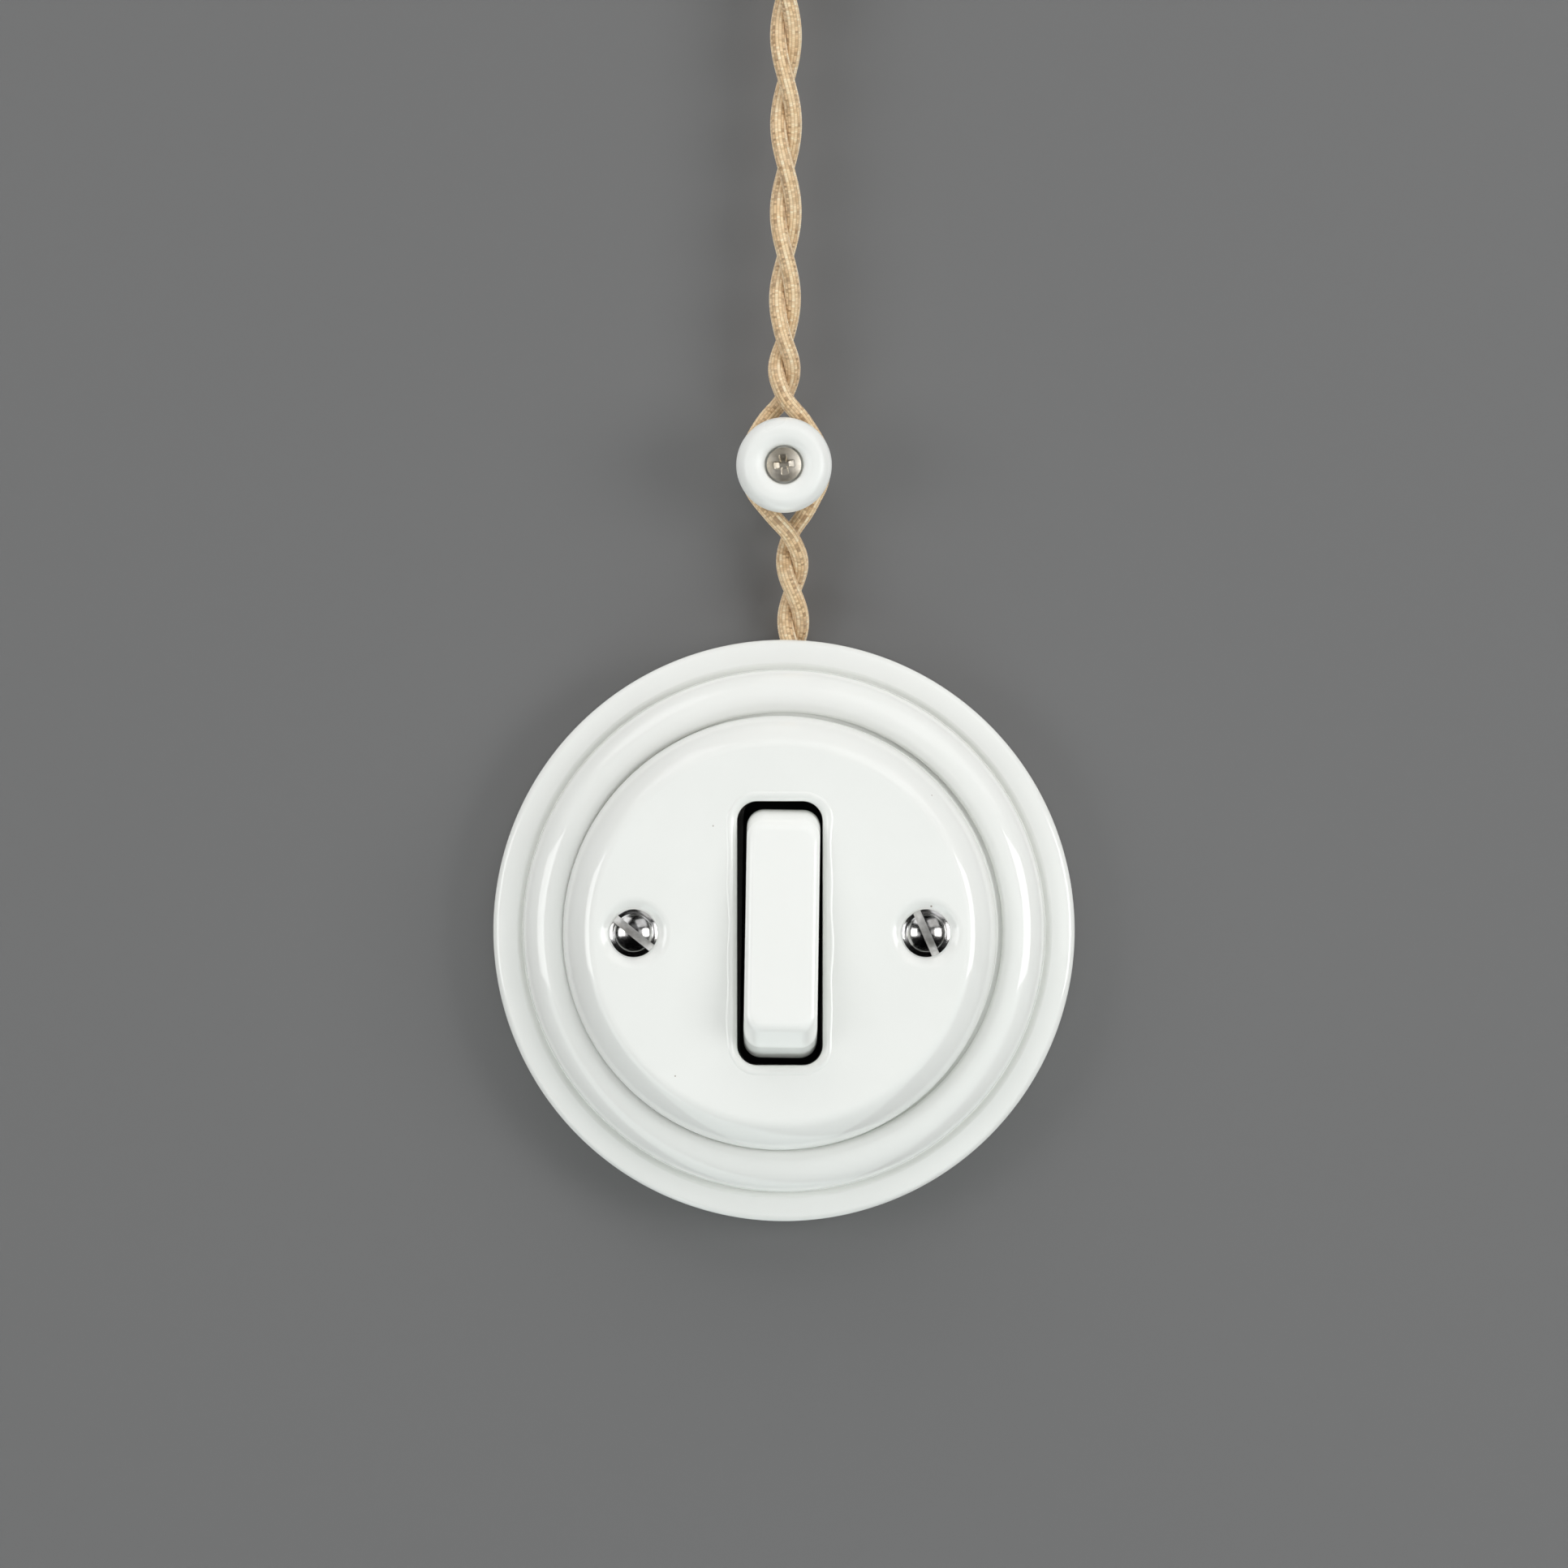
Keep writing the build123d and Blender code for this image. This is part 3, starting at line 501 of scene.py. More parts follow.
ROCKER_CENTRE = (-0.35, -0.15, 16.0)
ROCKER_LEAN = -0.9
ROCKER_TILT = -7.0
ROCKER_HALF_WIDTH = 6.3
ROCKER_FACE = (16.3, 10.2)
ROCKER_FOLD = (2.4, 0, 56)
ROCKER_SLOPE = 2.6
ROCKER_END = (5.0, 56, 78)
ROCKER_BASE = (21.5, -1.5)
ROCKER_EDGE = 1.4
ROCKER_CORNER = 3.0
ROCKER_HOLLOW = [(4.3, 17.8, -2.5), (4.3, 14.4, 7.5)]
ROCKER_HOLLOW_CORNER = 0.8
ROCKER_BOSS = (4.6, 3.6, -3.6, 8.0)
ROCKER_BOSS_CORNER = 0.3
ROCKER_ROD_STEPS = 48
PLUNGER_BORE = (2.0, -4.6, 5.5)
PIN_HOLE = (1.25, 4.0, 8.0)

CURVE_STEP = 0.12
KNOB_STEPS = 128
KNOB_BORE = 2.2
KNOB_FOOT = [(7.4, 0.0), (7.4, 3.2), (7.3, 3.9), (7.0, 4.4)]
KNOB_WAIST = [(7.0, 0, 4.4), (5.6, 0, 5.0), (4.6, 0, 6.6), (4.6, 0, 9.4), (5.6, 0, 11.0), (6.6, 0, 11.3)]
KNOB_HEAD = [
    (6.6, 0, 11.3),
    (8.1, 0, 11.6),
    (8.25, 0, 14.8),
    (7.9, 0, 17.1),
    (6.7, 0, 18.35),
    (5.2, 0, 18.5),
    (4.1, 0, 18.1),
    (3.3, 0, 17.5),
    (3.2, 0, 16.3),
]


def curved(points):
    """(radius, height) pairs along a smooth curve that the points control."""
    return [(point[0], point[2]) for point in evenly(line_of(points), CURVE_STEP)]


def screw_slot(centre, turn, width, floor):
    """Straight cutter across a screw's head, from its floor up."""
    half = width / 2
    corners = [(-SLOT_REACH, -half), (SLOT_REACH, -half), (SLOT_REACH, half), (-SLOT_REACH, half)]
    rings = []
    for height in (floor, floor + SLOT_REACH):
        ring = []
        for u, v in corners:
            x = centre[0] + u * cos(turn) - v * sin(turn)
            y = centre[1] + u * sin(turn) + v * cos(turn)
            ring.append(upright(x, y, height))
        rings.append(ring)
    return lofted("slot", rings, closed=False)


def cover_screw(side, node):
    """Slotted chrome screw with a smooth low dome and softened slot edges."""
    face = cover_outline()[0] + DISH_SEAT[1]
    x = COVER_CENTRE[0] + side * SCREW_SPACING / 2
    dome = arc((HEAD_TIP, face + HEAD_TOP), *HEAD_CURVE)[::-1]
    shank = [(COVER_SCREW_SHANK, COVER_SCREW_END), (COVER_SCREW_SHANK, face)]
    flange = [(radius, face + height) for radius, height in HEAD_FLANGE]
    head = turned(f"{node}_domed", shank + flange + dome, (x, COVER_CENTRE[1]), SCREW_STEPS, closed=False)
    width, depth = HEAD_SLOT
    floor = face + HEAD_TOP - depth
    turn = radians(SLOT_ANGLES[node.split("_")[-1]])
    slot = screw_slot((x, COVER_CENTRE[1]), turn, width, floor)
    screw = finished(cut_by(head, slot), SLOT_MATERIALS["plated_screw"], node)
    # The slot's flat floor takes the lighter copy of the plating, a painted light.
    screw.data.materials.append(SLOT_FLOOR_PAINTED_LIGHT)
    for facet in screw.data.polygons:
        right, out, up = facet.center.x / MM, -facet.center.y / MM, facet.center.z / MM
        across = (right - x) * sin(turn) - (up - COVER_CENTRE[1]) * cos(turn)
        flat = abs(facet.normal.y) > 0.9
        within = abs(across) < width / 2 + SKIM and abs(out - floor) < 0.1 * depth
        facet.material_index = int(flat and within)
    soft = screw.modifiers.new("soft_edges", "BEVEL")
    soft.width = SLOT_SOFTNESS * MM
    soft.segments = 3
    soft.limit_method = "ANGLE"
    soft.angle_limit = radians(40)
    screw.modifiers.move(1, 0)
    return screw


def rocker_point(x, y, z):
    """From the rocker's own millimetres to the scene, in its place at rest."""
    lean = Matrix.Rotation(radians(ROCKER_LEAN), 4, "Z")
    tilt = Matrix.Rotation(radians(ROCKER_TILT), 4, "X")
    return upright(*(Matrix.Translation(ROCKER_CENTRE) @ lean @ tilt @ Vector((x, y, z))))


def rocker_ring(half_x, half_y, corner, height):
    """Rounded rectangle square to the rocker's rise."""
    ring = []
    for quarter, (side_x, side_y) in enumerate([(1, 1), (-1, 1), (-1, -1), (1, -1)]):
        for step in range(CORNER_STEPS + 1):
            angle = pi / 2 * (quarter + step / CORNER_STEPS)
            x = side_x * (half_x - corner) + corner * cos(angle)
            y = side_y * (half_y - corner) + corner * sin(angle)
            ring.append(rocker_point(x, y, height))
    return ring


def rocker_outside():
    """Levels from the base up: steep ends, a short slope, a soft fold and a flat face."""
    fold = arc(ROCKER_FACE, *ROCKER_FOLD)
    slope = radians(ROCKER_FOLD[2])
    low_fold = (fold[-1][0] + ROCKER_SLOPE * cos(slope), fold[-1][1] - ROCKER_SLOPE * sin(slope))
    side = fold + arc(low_fold, *ROCKER_END) + [ROCKER_BASE]
    rings = []
    for half_y, height in reversed(side):
        rise = max(0, height - (ROCKER_FACE[1] - ROCKER_EDGE))
        inset = ROCKER_EDGE - max(0, ROCKER_EDGE**2 - rise**2) ** 0.5
        rings.append(rocker_ring(ROCKER_HALF_WIDTH - inset, half_y, ROCKER_CORNER - 0.6 * inset, height))
    return lofted("rocker_key_glazed", rings, closed=False)


def rocker_rod(radius, start, end, crosswise=False):
    """Round cutter along the rocker's rise, or across it for a pin."""
    angles = [2 * pi * step / ROCKER_ROD_STEPS for step in range(ROCKER_ROD_STEPS)]
    spots = [(radius * cos(a), radius * sin(a)) for a in angles]
    rings = []
    for travel in (start, end):
        points = [(travel, u, v) if crosswise else (u, v, travel) for u, v in spots]
        rings.append([rocker_point(*point) for point in points])
    return lofted("rod", rings, closed=False)


def rocker_key():
    """Hollow key with a boss under its middle, bored for the plunger and the pins."""
    space = [rocker_ring(x, y, ROCKER_HOLLOW_CORNER, z) for x, y, z in ROCKER_HOLLOW]
    half_x, half_y, low, high = ROCKER_BOSS
    block = [rocker_ring(half_x, half_y, ROCKER_BOSS_CORNER, z) for z in (low, high)]
    hollow = lofted("hollow", space, closed=False)
    boss = lofted("boss", block, closed=False)
    pins = [rocker_rod(PIN_HOLE[0], side * PIN_HOLE[1], side * PIN_HOLE[2], True) for side in (-1, 1)]
    shell = cut_by(rocker_outside(), hollow)
    key = cut_by(cut_by(shell, boss, way="UNION"), rocker_rod(*PLUNGER_BORE), *pins)
    return finished(key, SLOT_MATERIALS["rocker"], "rocker_key", "rocker")


def knob_insulator(node):
    """Turned spool: foot, waist for the cores, and a round head dished for its screw."""
    low, high = (np.array(corner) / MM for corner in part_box(node))
    centre = ((low[0] + high[0]) / 2, (low[2] + high[2]) / 2)
    bore = [(KNOB_BORE, KNOB_HEAD[-1][2]), (KNOB_BORE, 0)]
    outline = KNOB_FOOT[:-1] + curved(KNOB_WAIST) + curved(KNOB_HEAD)[1:] + bore
    mesh = turned(f"{node}_glazed", outline, centre, KNOB_STEPS)
    return finished(mesh, KNOB_MATERIALS["insulator"], node)


# --- knob insulators' screws ------------------------------------------------------------
HEAD_DOME = 0.9
HEAD_SHARE = 0.95
HEAD_EDGE = 0.35
HEAD_CENTRE = 0.08
HEAD_RINGS = 34
RECESS_REACH = 2.15
RECESS_HALF_WIDTH = 0.42
RECESS_FLARE = 0.13
RECESS_DEPTH = 0.62
RECESS_RAMP = 1.35
RECESS_SOFTNESS = 0.16
HEAD_SAG = 0.12
RECESS_TURN = radians(8)
SHANK_RADIUS = 1.7
THREAD_RADIUS = 1.9
THREAD_ROOT = 1.3
THREAD_PITCH = 1.5
THREAD_TAPER = 5.0
THREAD_STEEPNESS = 3.5
THREAD_STEP = 0.12
THREAD_END = -0.3
TIP_BLUNTNESS = 0.12


def head_height(radius, angle, reach):
    """Height of a domed head over its edge, less the flared cross cut into it."""
    height = HEAD_EDGE + (HEAD_DOME - HEAD_EDGE) * (1 - (radius / reach) ** 2)
    for arm in (0, pi / 2):
        along = abs(radius * cos(angle - RECESS_TURN - arm))
        beside = abs(radius * sin(angle - RECESS_TURN - arm))
        width = RECESS_HALF_WIDTH + RECESS_FLARE * along
        floor = min(1, max(0, (RECESS_REACH - along) / RECESS_RAMP))
        side = min(1, max(0, (width - beside) / RECESS_SOFTNESS + 0.5))
        cut = floor * side
        height = min(height, HEAD_DOME - RECESS_DEPTH * cut - HEAD_SAG * (1 - cut) * radius / reach)
    return height


def thread_radius(height, angle, tip):
    """A thread's ridge winds up the shank and fades out at the tip."""
    ridge = (height / THREAD_PITCH - angle / (2 * pi)) % 1
    full = THREAD_ROOT + (THREAD_RADIUS - THREAD_ROOT) * max(0, 1 - abs(ridge - 0.5) * THREAD_STEEPNESS)
    return full * min(1, TIP_BLUNTNESS + (height - tip) / THREAD_TAPER)


def knob_screw(node):
    """Threaded wood screw with a domed cross-recess head, in the CAD screw's place."""
    low, high = (np.array(corner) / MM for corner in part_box(node))
    centre_x, centre_z = (low[0] + high[0]) / 2, (low[2] + high[2]) / 2
    tip, reach = -high[1], HEAD_SHARE * (high[0] - low[0]) / 2
    seat = -low[1] - HEAD_DOME
    angles = [2 * pi * step / SCREW_STEPS for step in range(SCREW_STEPS)]
    rings = []
    for height in np.arange(tip, THREAD_END, THREAD_STEP):
        rings.append([(thread_radius(height, a, tip), a, height) for a in angles])
    collar = [(SHANK_RADIUS, THREAD_END), (SHANK_RADIUS, seat), (reach - 0.1, seat), (reach, seat + 0.1)]
    for radius, height in collar:
        rings.append([(radius, a, height) for a in angles])
    for radius in np.linspace(reach, HEAD_CENTRE, HEAD_RINGS):
        rings.append([(radius, a, seat + head_height(radius, a, reach)) for a in angles])
    loops = []
    for ring in rings:
        loops.append([upright(centre_x + r * cos(a), centre_z + r * sin(a), h) for r, a, h in ring])
    piece = place(f"{node}_cross", lofted(f"{node}_cross", loops, closed=False))
    piece.data.shade_smooth()
    piece.data.set_sharp_from_angle(angle=radians(40))
    piece.data.materials.append(KNOB_MATERIALS["screw"])
    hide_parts(node)
    return piece


# --- materials --------------------------------------------------------------------
def new_material(name, colour, roughness, metallic=0.0):
    material = bpy.data.materials.new(name)
    material.use_nodes = True
    shader = material.node_tree.nodes["Principled BSDF"]
    shader.inputs["Base Color"].default_value = (*colour, 1)
    shader.inputs["Roughness"].default_value = roughness
    shader.inputs["Metallic"].default_value = metallic
    return material, material.node_tree, shader


def noise(tree, scale, detail=2.0, stretch=(1, 1, 1)):
    """Noise fixed to the piece, with a scale in waves per metre."""
    where = tree.nodes.new("ShaderNodeTexCoord")
    mapping = tree.nodes.new("ShaderNodeMapping")
    mapping.inputs["Scale"].default_value = stretch
    texture = tree.nodes.new("ShaderNodeTexNoise")
    texture.inputs["Scale"].default_value = scale
    texture.inputs["Detail"].default_value = detail
    tree.links.new(where.outputs["Object"], mapping.inputs["Vector"])
    tree.links.new(mapping.outputs["Vector"], texture.inputs["Vector"])
    return texture.outputs["Fac"]


def ranged(tree, value, from_low, from_high, to_low, to_high):
    """The value, carried from one range to another."""
    step = tree.nodes.new("ShaderNodeMapRange")
    limits = {"From Min": from_low, "From Max": from_high, "To Min": to_low, "To Max": to_high}
    for name, limit in limits.items():
        step.inputs[name].default_value = limit
    tree.links.new(value, step.inputs["Value"])
    return step.outputs["Result"]


def tinted(tree, value, *stops):
    """Colour ramp through (position, colour) stops."""
    ramp = tree.nodes.new("ShaderNodeValToRGB")
    band = ramp.color_ramp
    while len(band.elements) < len(stops):
        band.elements.new(1.0)
    for element, (position, colour) in zip(band.elements, stops):
        element.position = position
        element.color = (*colour, 1)
    tree.links.new(value, ramp.inputs["Fac"])
    return ramp.outputs["Color"]


def blended(tree, share, base, colour):
    """The base's colours, with a plain colour over them where the share is high."""
    mix = tree.nodes.new("ShaderNodeMix")
    mix.data_type = "RGBA"
    mix.blend_type = "MIX"
    tree.links.new(share, mix.inputs[0])
    tree.links.new(base, mix.inputs[6])
    mix.inputs[7].default_value = (*colour, 1)
    return mix.outputs[2]


def bumped(tree, shader, height, distance):
    """Relief on the surface; its distance is in metres."""
    bump = tree.nodes.new("ShaderNodeBump")
    bump.inputs["Strength"].default_value = 1.0
    bump.inputs["Distance"].default_value = distance
    tree.links.new(height, bump.inputs["Height"])
    tree.links.new(bump.outputs["Normal"], shader.inputs["Normal"])


def sums(tree, kind, first, second=0.0):
    """One arithmetic step on one or two numbers, each a socket or a plain value."""
    step = tree.nodes.new("ShaderNodeMath")
    step.operation = kind
    for socket, value in zip(step.inputs, (first, second)):
        if isinstance(value, bpy.types.NodeSocket):
            tree.links.new(value, socket)
        else:
            socket.default_value = value
    return step.outputs["Value"]


def specks(tree, scale, size, share):
    """1 inside small round specks, of which only a share of the cells has one."""
    where = tree.nodes.new("ShaderNodeTexCoord")
    cells = tree.nodes.new("ShaderNodeTexVoronoi")
    cells.inputs["Scale"].default_value = scale
    tree.links.new(where.outputs["Object"], cells.inputs["Vector"])
    near = ranged(tree, cells.outputs["Distance"], 0.6 * size, size, 1, 0)
    split = tree.nodes.new("ShaderNodeSeparateColor")
    tree.links.new(cells.outputs["Color"], split.inputs["Color"])
    chosen = sums(tree, "LESS_THAN", split.outputs["Red"], share)
    return sums(tree, "MULTIPLY", near, chosen)


def glaze(name, light, dark, roughness, wave):
    """White glaze: faint clouds, pin specks, uneven gloss and a pooled, wavy surface."""
    material, tree, shader = new_material(name, light, roughness)
    clouds = tinted(tree, noise(tree, 45, 3), (0.35, dark), (0.65, light))
    marks = specks(tree, 160, 0.035, 0.10)
    colour = blended(tree, marks, clouds, (0.30, 0.25, 0.20))
    tree.links.new(colour, shader.inputs["Base Color"])
    gloss = ranged(tree, noise(tree, 150, 2), 0.3, 0.7, 0.8 * roughness, 1.3 * roughness)
    tree.links.new(gloss, shader.inputs["Roughness"])
    bumped(tree, shader, noise(tree, 70, 0), wave)
    shader.inputs["IOR"].default_value = 1.52
    return material


def metal(name, colour, tarnish, roughness, scratch=0.004 * MM, metallic=1.0):
    """Metal with clouds of tarnish, fine drawn scratches and uneven polish."""
    material, tree, shader = new_material(name, colour, roughness, metallic)
    clouds = tinted(tree, noise(tree, 420, 4), (0.35, tarnish), (0.62, colour))
    tree.links.new(clouds, shader.inputs["Base Color"])
    lines = noise(tree, 900, 2, (1, 1, 14))
    polish = ranged(tree, lines, 0.3, 0.7, 0.7 * roughness, 1.4 * roughness)
    tree.links.new(polish, shader.inputs["Roughness"])
    bumped(tree, shader, lines, scratch)
    return material


def matt(name, colour):
    return new_material(name, colour, 0.8)[0]


def steatite():
    """Unglazed ceramic: fine grains and faint buff stains."""
    material, tree, shader = new_material("steatite", (0.78, 0.76, 0.70), 0.7)
    stains = tinted(tree, noise(tree, 60, 3), (0.3, (0.70, 0.66, 0.57)), (0.7, (0.79, 0.77, 0.71)))
    colour = blended(tree, specks(tree, 700, 0.12, 0.15), stains, (0.50, 0.45, 0.38))
    tree.links.new(colour, shader.inputs["Base Color"])
    bumped(tree, shader, noise(tree, 2500, 3), 0.03 * MM)
    return material


def bakelite():
    """Black moulding: brown-black swirls, satin with duller patches."""
    material, tree, shader = new_material("bakelite", (0.012, 0.011, 0.010), 0.35)
    swirl = tinted(tree, noise(tree, 120, 4), (0.4, (0.006, 0.006, 0.006)), (0.8, (0.020, 0.015, 0.012)))
    tree.links.new(swirl, shader.inputs["Base Color"])
    dull = ranged(tree, noise(tree, 300, 2), 0.3, 0.7, 0.28, 0.45)
    tree.links.new(dull, shader.inputs["Roughness"])
    bumped(tree, shader, noise(tree, 900, 2), 0.006 * MM)
    return material


def linen():
    """Braided cover: lengthwise ribs of tan, brown and cream stitches, with shade painted dark between
    the ribs and between the stitches.
    """
    material, tree, shader = new_material("linen_braid", (0.60, 0.42, 0.22), 0.85)
    layout = tree.nodes.new("ShaderNodeUVMap")
    split = tree.nodes.new("ShaderNodeSeparateXYZ")
    tree.links.new(layout.outputs["UV"], split.inputs["Vector"])
    column = sums(tree, "MULTIPLY", split.outputs["X"], BRAID_COLUMNS)
    column_number = sums(tree, "FLOOR", column)
    parity = sums(tree, "MODULO", column_number, 2)
    travel = sums(tree, "MULTIPLY", split.outputs["Y"], CORE_LENGTH / STITCH_LENGTH)
    stitch = sums(tree, "ADD", travel, sums(tree, "MULTIPLY", parity, 0.5))
    joined = tree.nodes.new("ShaderNodeCombineXYZ")
    tree.links.new(column_number, joined.inputs["X"])
    tree.links.new(sums(tree, "FLOOR", stitch), joined.inputs["Y"])
    chance = tree.nodes.new("ShaderNodeTexWhiteNoise")
    chance.noise_dimensions = "2D"
    tree.links.new(joined.outputs["Vector"], chance.inputs["Vector"])
    strand = tree.nodes.new("ShaderNodeTexWhiteNoise")
    strand.noise_dimensions = "1D"
    tree.links.new(column_number, strand.inputs["W"])
    own = sums(tree, "MULTIPLY", strand.outputs["Value"], STRAND_SHARE)
    picked = sums(tree, "ADD", own, sums(tree, "MULTIPLY", chance.outputs["Value"], 1 - STRAND_SHARE))
    threads = tinted(
        tree,
        picked,
        (0.1, (0.38, 0.23, 0.11)),
        (0.4, (0.74, 0.51, 0.28)),
        (0.7, (0.86, 0.66, 0.40)),
        (0.95, (0.93, 0.82, 0.60)),
    )
    # Painted shade: the colour darkens towards the edges of each rib and at the joins of the stitches,
    # where shade would fall.
    across = sums(tree, "ABSOLUTE", sums(tree, "SUBTRACT", sums(tree, "FRACT", column), 0.5))
    groove = ranged(tree, across, 0.28, 0.5, 0, 0.6)
    seam = sums(tree, "ABSOLUTE", sums(tree, "SUBTRACT", sums(tree, "FRACT", stitch), 0.5))
    stitch_shade = ranged(tree, seam, 0.38, 0.5, 0, 0.35)
    shade = sums(tree, "MAXIMUM", groove, stitch_shade)
    # The painted shade lays dark brown over the thread colours.
    braid = blended(tree, shade, threads, (0.30, 0.17, 0.075))
    dust = ranged(tree, noise(tree, 500, 3), 0.3, 0.7, 0, 0.16)
    tree.links.new(blended(tree, dust, braid, (0.86, 0.78, 0.62)), shader.inputs["Base Color"])
    shader.inputs["Sheen Weight"].default_value = 0.25
    shader.inputs["Sheen Roughness"].default_value = 0.5
    bumped(tree, shader, noise(tree, 6000, 2), 0.02 * MM)
    return material


WHITE = (0.86, 0.87, 0.84)
SLOT_MATERIALS = {
    "porcelain": glaze("porcelain_glaze", WHITE, (0.84, 0.85, 0.82), 0.035, 0.024 * MM),
    "rocker": glaze("rocker_glaze", (0.89, 0.90, 0.87), (0.88, 0.89, 0.86), 0.06, 0.012 * MM),
    "steatite": steatite(),
    "bakelite": bakelite(),
    "plated_screw": metal("plated_screw", (0.80, 0.80, 0.80), (0.58, 0.57, 0.55), 0.17, 0.003 * MM),
    "steel": metal("blackened_steel", (0.020, 0.020, 0.022), (0.008, 0.008, 0.008), 0.4),
    "brass": metal("brass", (0.78, 0.58, 0.28), (0.50, 0.34, 0.15), 0.25),
    "silver": metal("silver", (0.80, 0.79, 0.76), (0.45, 0.43, 0.40), 0.3),
    "copper": metal("copper", (0.80, 0.42, 0.26), (0.50, 0.24, 0.14), 0.35),
    "linen": linen(),
    "ferrule": metal("ferrule", (0.75, 0.76, 0.78), (0.50, 0.50, 0.50), 0.3),
}
# Painted light: the flat floor of each cover screw's slot gets this lighter, partly unmetallic and
# rougher copy of the plating, so that the floor reads bright.
SLOT_FLOOR_PAINTED_LIGHT = metal("screw_slot_floor_painted_light", (0.90, 0.89, 0.87), (0.48, 0.47, 0.44), 0.65, 0.010 * MM, 0.4)
KNOB_MATERIALS = {
    "insulator": glaze("knob_glaze", (0.85, 0.86, 0.83), (0.81, 0.82, 0.79), 0.32, 0.020 * MM),
    "screw": metal("knob_screw_nickel", (0.96, 0.90, 0.79), (0.68, 0.61, 0.49), 0.48, 0.008 * MM),
}


def dress_cad_nodes():
    """Give every piece of the CAD model its material."""
    for subpart in frame["record"]["subparts"]:
        name = subpart["node"]
        kind = name.split("_")[-1] if "knob" in name else ""
        material = KNOB_MATERIALS.get(kind, SLOT_MATERIALS[subpart["material_slot"]])
        node = frame["nodes"][name]
        node.data.materials.clear()
        node.data.materials.append(material)


# --- stage, camera and lights --------------------------------------------------------
WALL_GREY = (0.155, 0.155, 0.155)
FLOOR_GREY = (0.45, 0.45, 0.45)
WALL_DEPTH = 0.3 * MM
FLOOR_HEIGHT = -0.32
STAGE_REACH = 3.0
VIEW_WIDTH = 0.2708
CAMERA_DISTANCE = 2.0
CAMERA_HEIGHT = 0.0252
SENSOR = 36.0


def one_sided(material):
    """Let views from behind see through the wall and the floor."""
    nodes, links = material.node_tree.nodes, material.node_tree.links
    shader = nodes["Principled BSDF"]
    side = nodes.new("ShaderNodeNewGeometry")
    clear = nodes.new("ShaderNodeBsdfTransparent")
    mix = nodes.new("ShaderNodeMixShader")
    links.new(side.outputs["Backfacing"], mix.inputs["Fac"])
    links.new(shader.outputs["BSDF"], mix.inputs[1])
    links.new(clear.outputs["BSDF"], mix.inputs[2])
    links.new(mix.outputs["Shader"], nodes["Material Output"].inputs["Surface"])


def backdrop(name, corners, colour):
    """Plain sheet that casts no shadow and shows only from its front."""
    mesh = bpy.data.meshes.new(name)
    mesh.from_pydata(corners, [], [(0, 1, 2, 3)])
    material = matt(name, colour)
    one_sided(material)
    mesh.materials.append(material)
    sheet = bpy.data.objects.new(name, mesh)
    bpy.context.scene.collection.objects.link(sheet)
    sheet.visible_shadow = False
    return sheet


def stage():
    """Grey wall behind the switch and a pale floor below it."""
    wide, wall, floor = STAGE_REACH, WALL_DEPTH, FLOOR_HEIGHT
    upright_sheet = [(-wide, wall, floor), (wide, wall, floor), (wide, wall, wide), (-wide, wall, wide)]
    flat_sheet = [(-wide, -wide, floor), (wide, -wide, floor), (wide, wide, floor), (-wide, wide, floor)]
    backdrop("wall", upright_sheet, WALL_GREY)
    ground = backdrop("floor", flat_sheet, FLOOR_GREY)
    ground.visible_glossy = False


def camera():
    """Long lens, level and square to the wall."""
    data = bpy.data.cameras.new("camera")
    data.sensor_width = SENSOR
    data.lens = SENSOR * CAMERA_DISTANCE / VIEW_WIDTH
    data.clip_end = 20
    holder = bpy.data.objects.new("camera", data)
    holder.location = (0, -CAMERA_DISTANCE, CAMERA_HEIGHT)
    holder.rotation_euler = (radians(90), 0, 0)
    bpy.context.scene.collection.objects.link(holder)
    bpy.context.scene.camera = holder


def softbox(name, azimuth, elevation, distance, width, height, radiance, colour=(1, 1, 1), mirrored=True):
    """Area light that faces the switch. Azimuth is to the right of the camera."""
    data = bpy.data.lights.new(name, "AREA")
    data.shape = "RECTANGLE"
    data.size = width
    data.size_y = height
    data.energy = radiance * pi * width * height
    data.color = colour
    lamp = bpy.data.objects.new(name, data)
    turn, rise = radians(azimuth), radians(elevation)
    direction = Vector((sin(turn) * cos(rise), -cos(turn) * cos(rise), sin(rise)))
    lamp.location = direction * distance
    lamp.rotation_euler = direction.to_track_quat("Z", "Y").to_euler()
    lamp.visible_glossy = mirrored
    bpy.context.scene.collection.objects.link(lamp)


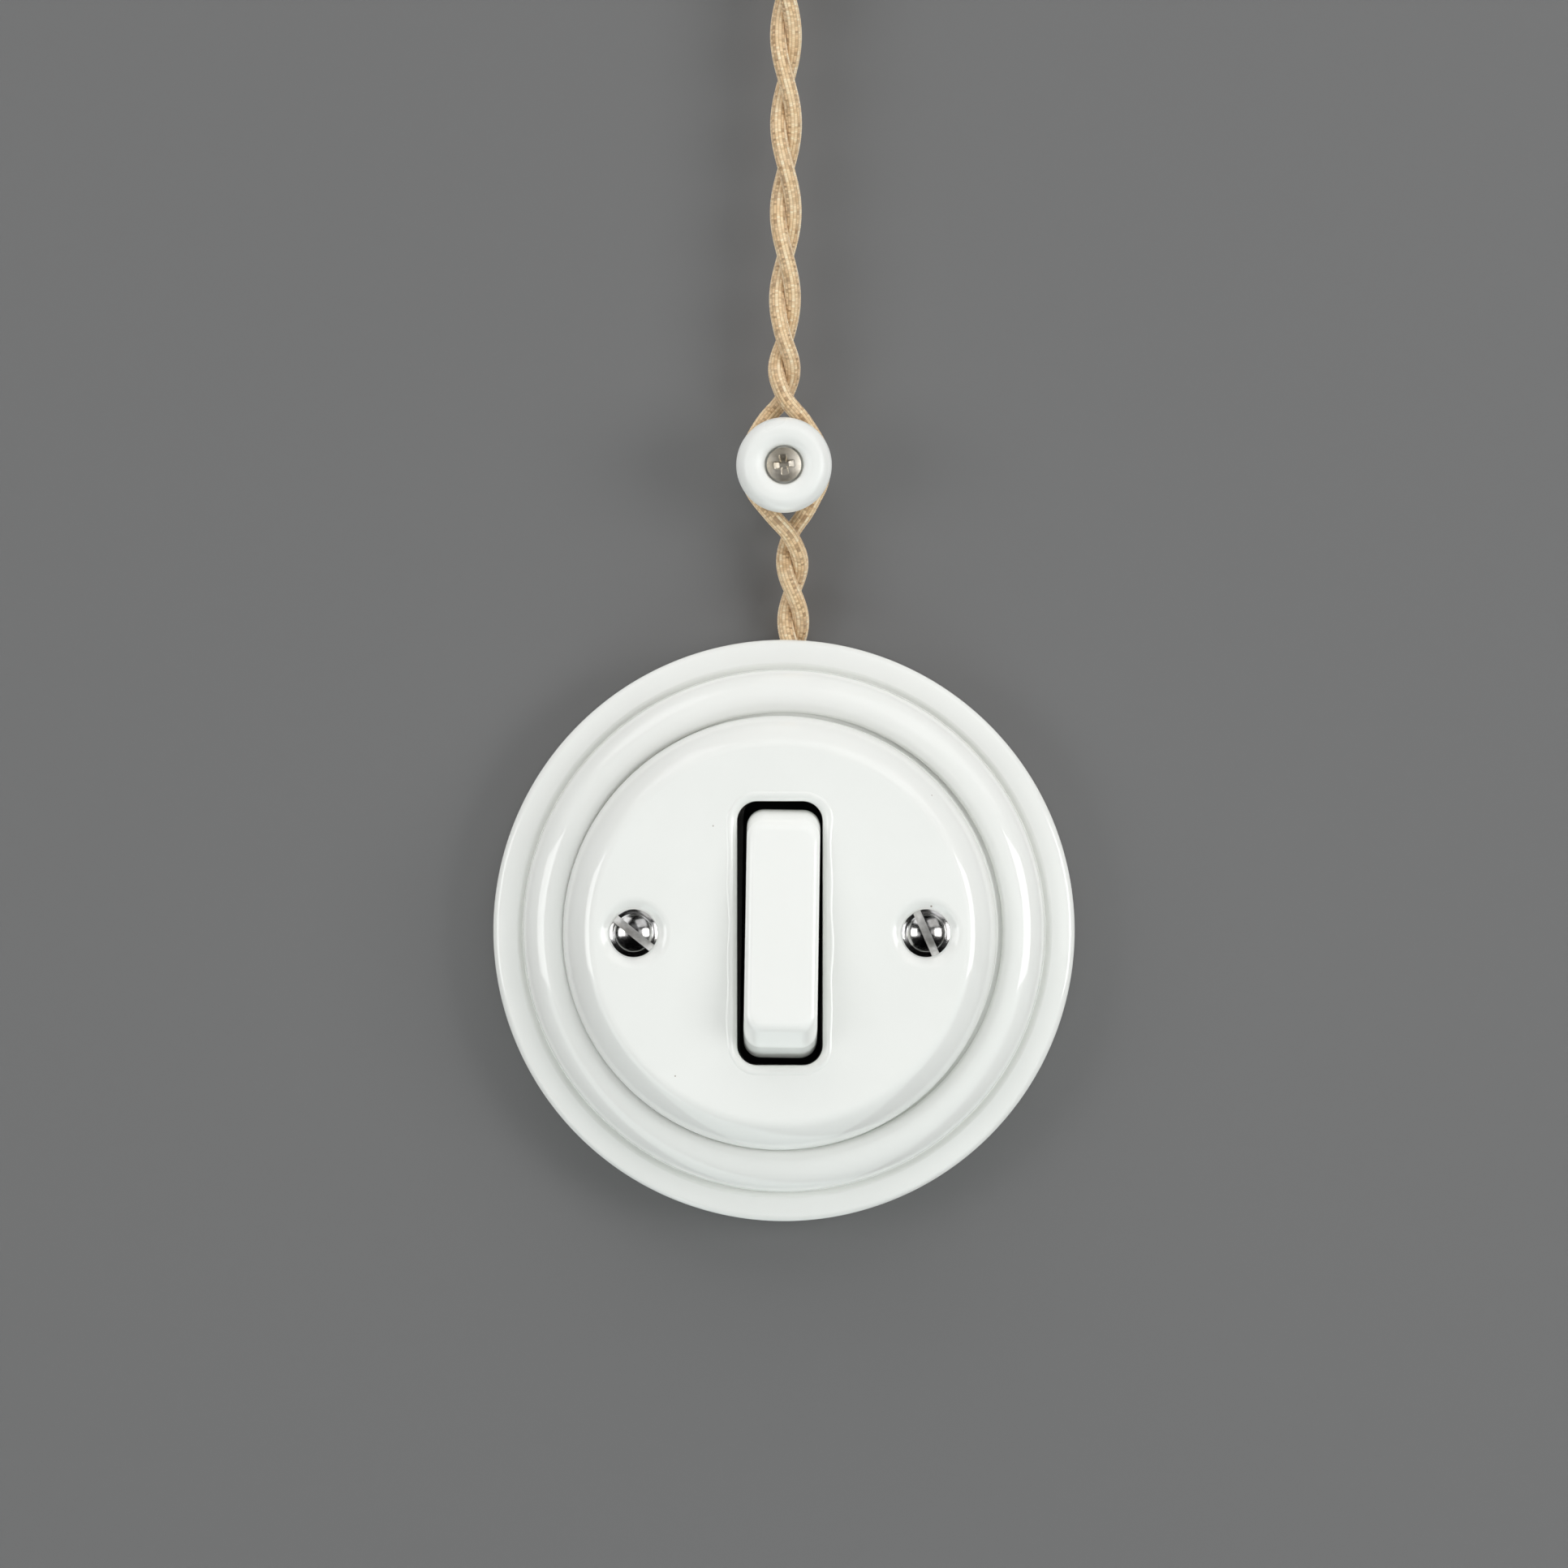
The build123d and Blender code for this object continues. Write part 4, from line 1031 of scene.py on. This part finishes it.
def room(low, high):
    """Soft fill from a room that is brighter above than below, not mirrored in the glaze."""
    light = bpy.data.worlds.new("studio")
    light.use_nodes = True
    tree = light.node_tree
    where = tree.nodes.new("ShaderNodeTexCoord")
    split = tree.nodes.new("ShaderNodeSeparateXYZ")
    tree.links.new(where.outputs["Generated"], split.inputs["Vector"])
    strength = ranged(tree, split.outputs["Z"], -0.5, 0.5, low, high)
    tree.links.new(strength, tree.nodes["Background"].inputs["Strength"])
    tree.nodes["Background"].inputs["Color"].default_value = (1, 1, 1, 1)
    bpy.context.scene.world = light
    light.cycles_visibility.glossy = False


def lights():
    """Softboxes beside, above and below the camera, three behind the wall, and a soft room."""
    softbox("side_left", -52, 3, 1.2, 0.58, 0.56, 3.2)
    softbox("side_right", 52, 3, 1.2, 0.58, 0.56, 4.85)
    softbox("ceiling", 0, 60, 1.2, 1.2, 0.8, 1.38, mirrored=False)
    softbox("high_left", -50, 52, 1.2, 0.6, 0.6, 1.05)
    softbox("high_right", 40, 42, 1.2, 0.9, 0.7, 0.70)
    softbox("top", 0, 80, 1.2, 1.2, 0.5, 0.80, mirrored=False)
    softbox("front", 8, 27, 1.6, 1.1, 0.6, 0.12)
    softbox("front_right", 29, 5, 1.6, 0.50, 0.45, 0.60)
    softbox("front_left", -33, -5, 1.6, 0.45, 0.35, 0.55)
    softbox("below", 0, -55, 1.2, 1.2, 0.6, 3.20, (0.90, 1.0, 1.0), mirrored=False)
    softbox("back_left", -140, 10, 1.4, 0.9, 0.7, 2.2)
    softbox("back_right", 140, 10, 1.4, 0.9, 0.7, 2.2)
    softbox("back_top", 180, 50, 1.4, 0.9, 0.7, 2.2)
    room(0.15, 0.36)


bpy.context.scene.view_settings.view_transform = "Standard"
camera()
stage()
lights()
dress_cad_nodes()
wall_ring()
cover_plate()
cover_screw(-1, "cover_screw_left")
cover_screw(1, "cover_screw_right")
rocker_key()
flex_core("left", -1, SLOT_MATERIALS["linen"])
flex_core("right", 1, SLOT_MATERIALS["linen"])
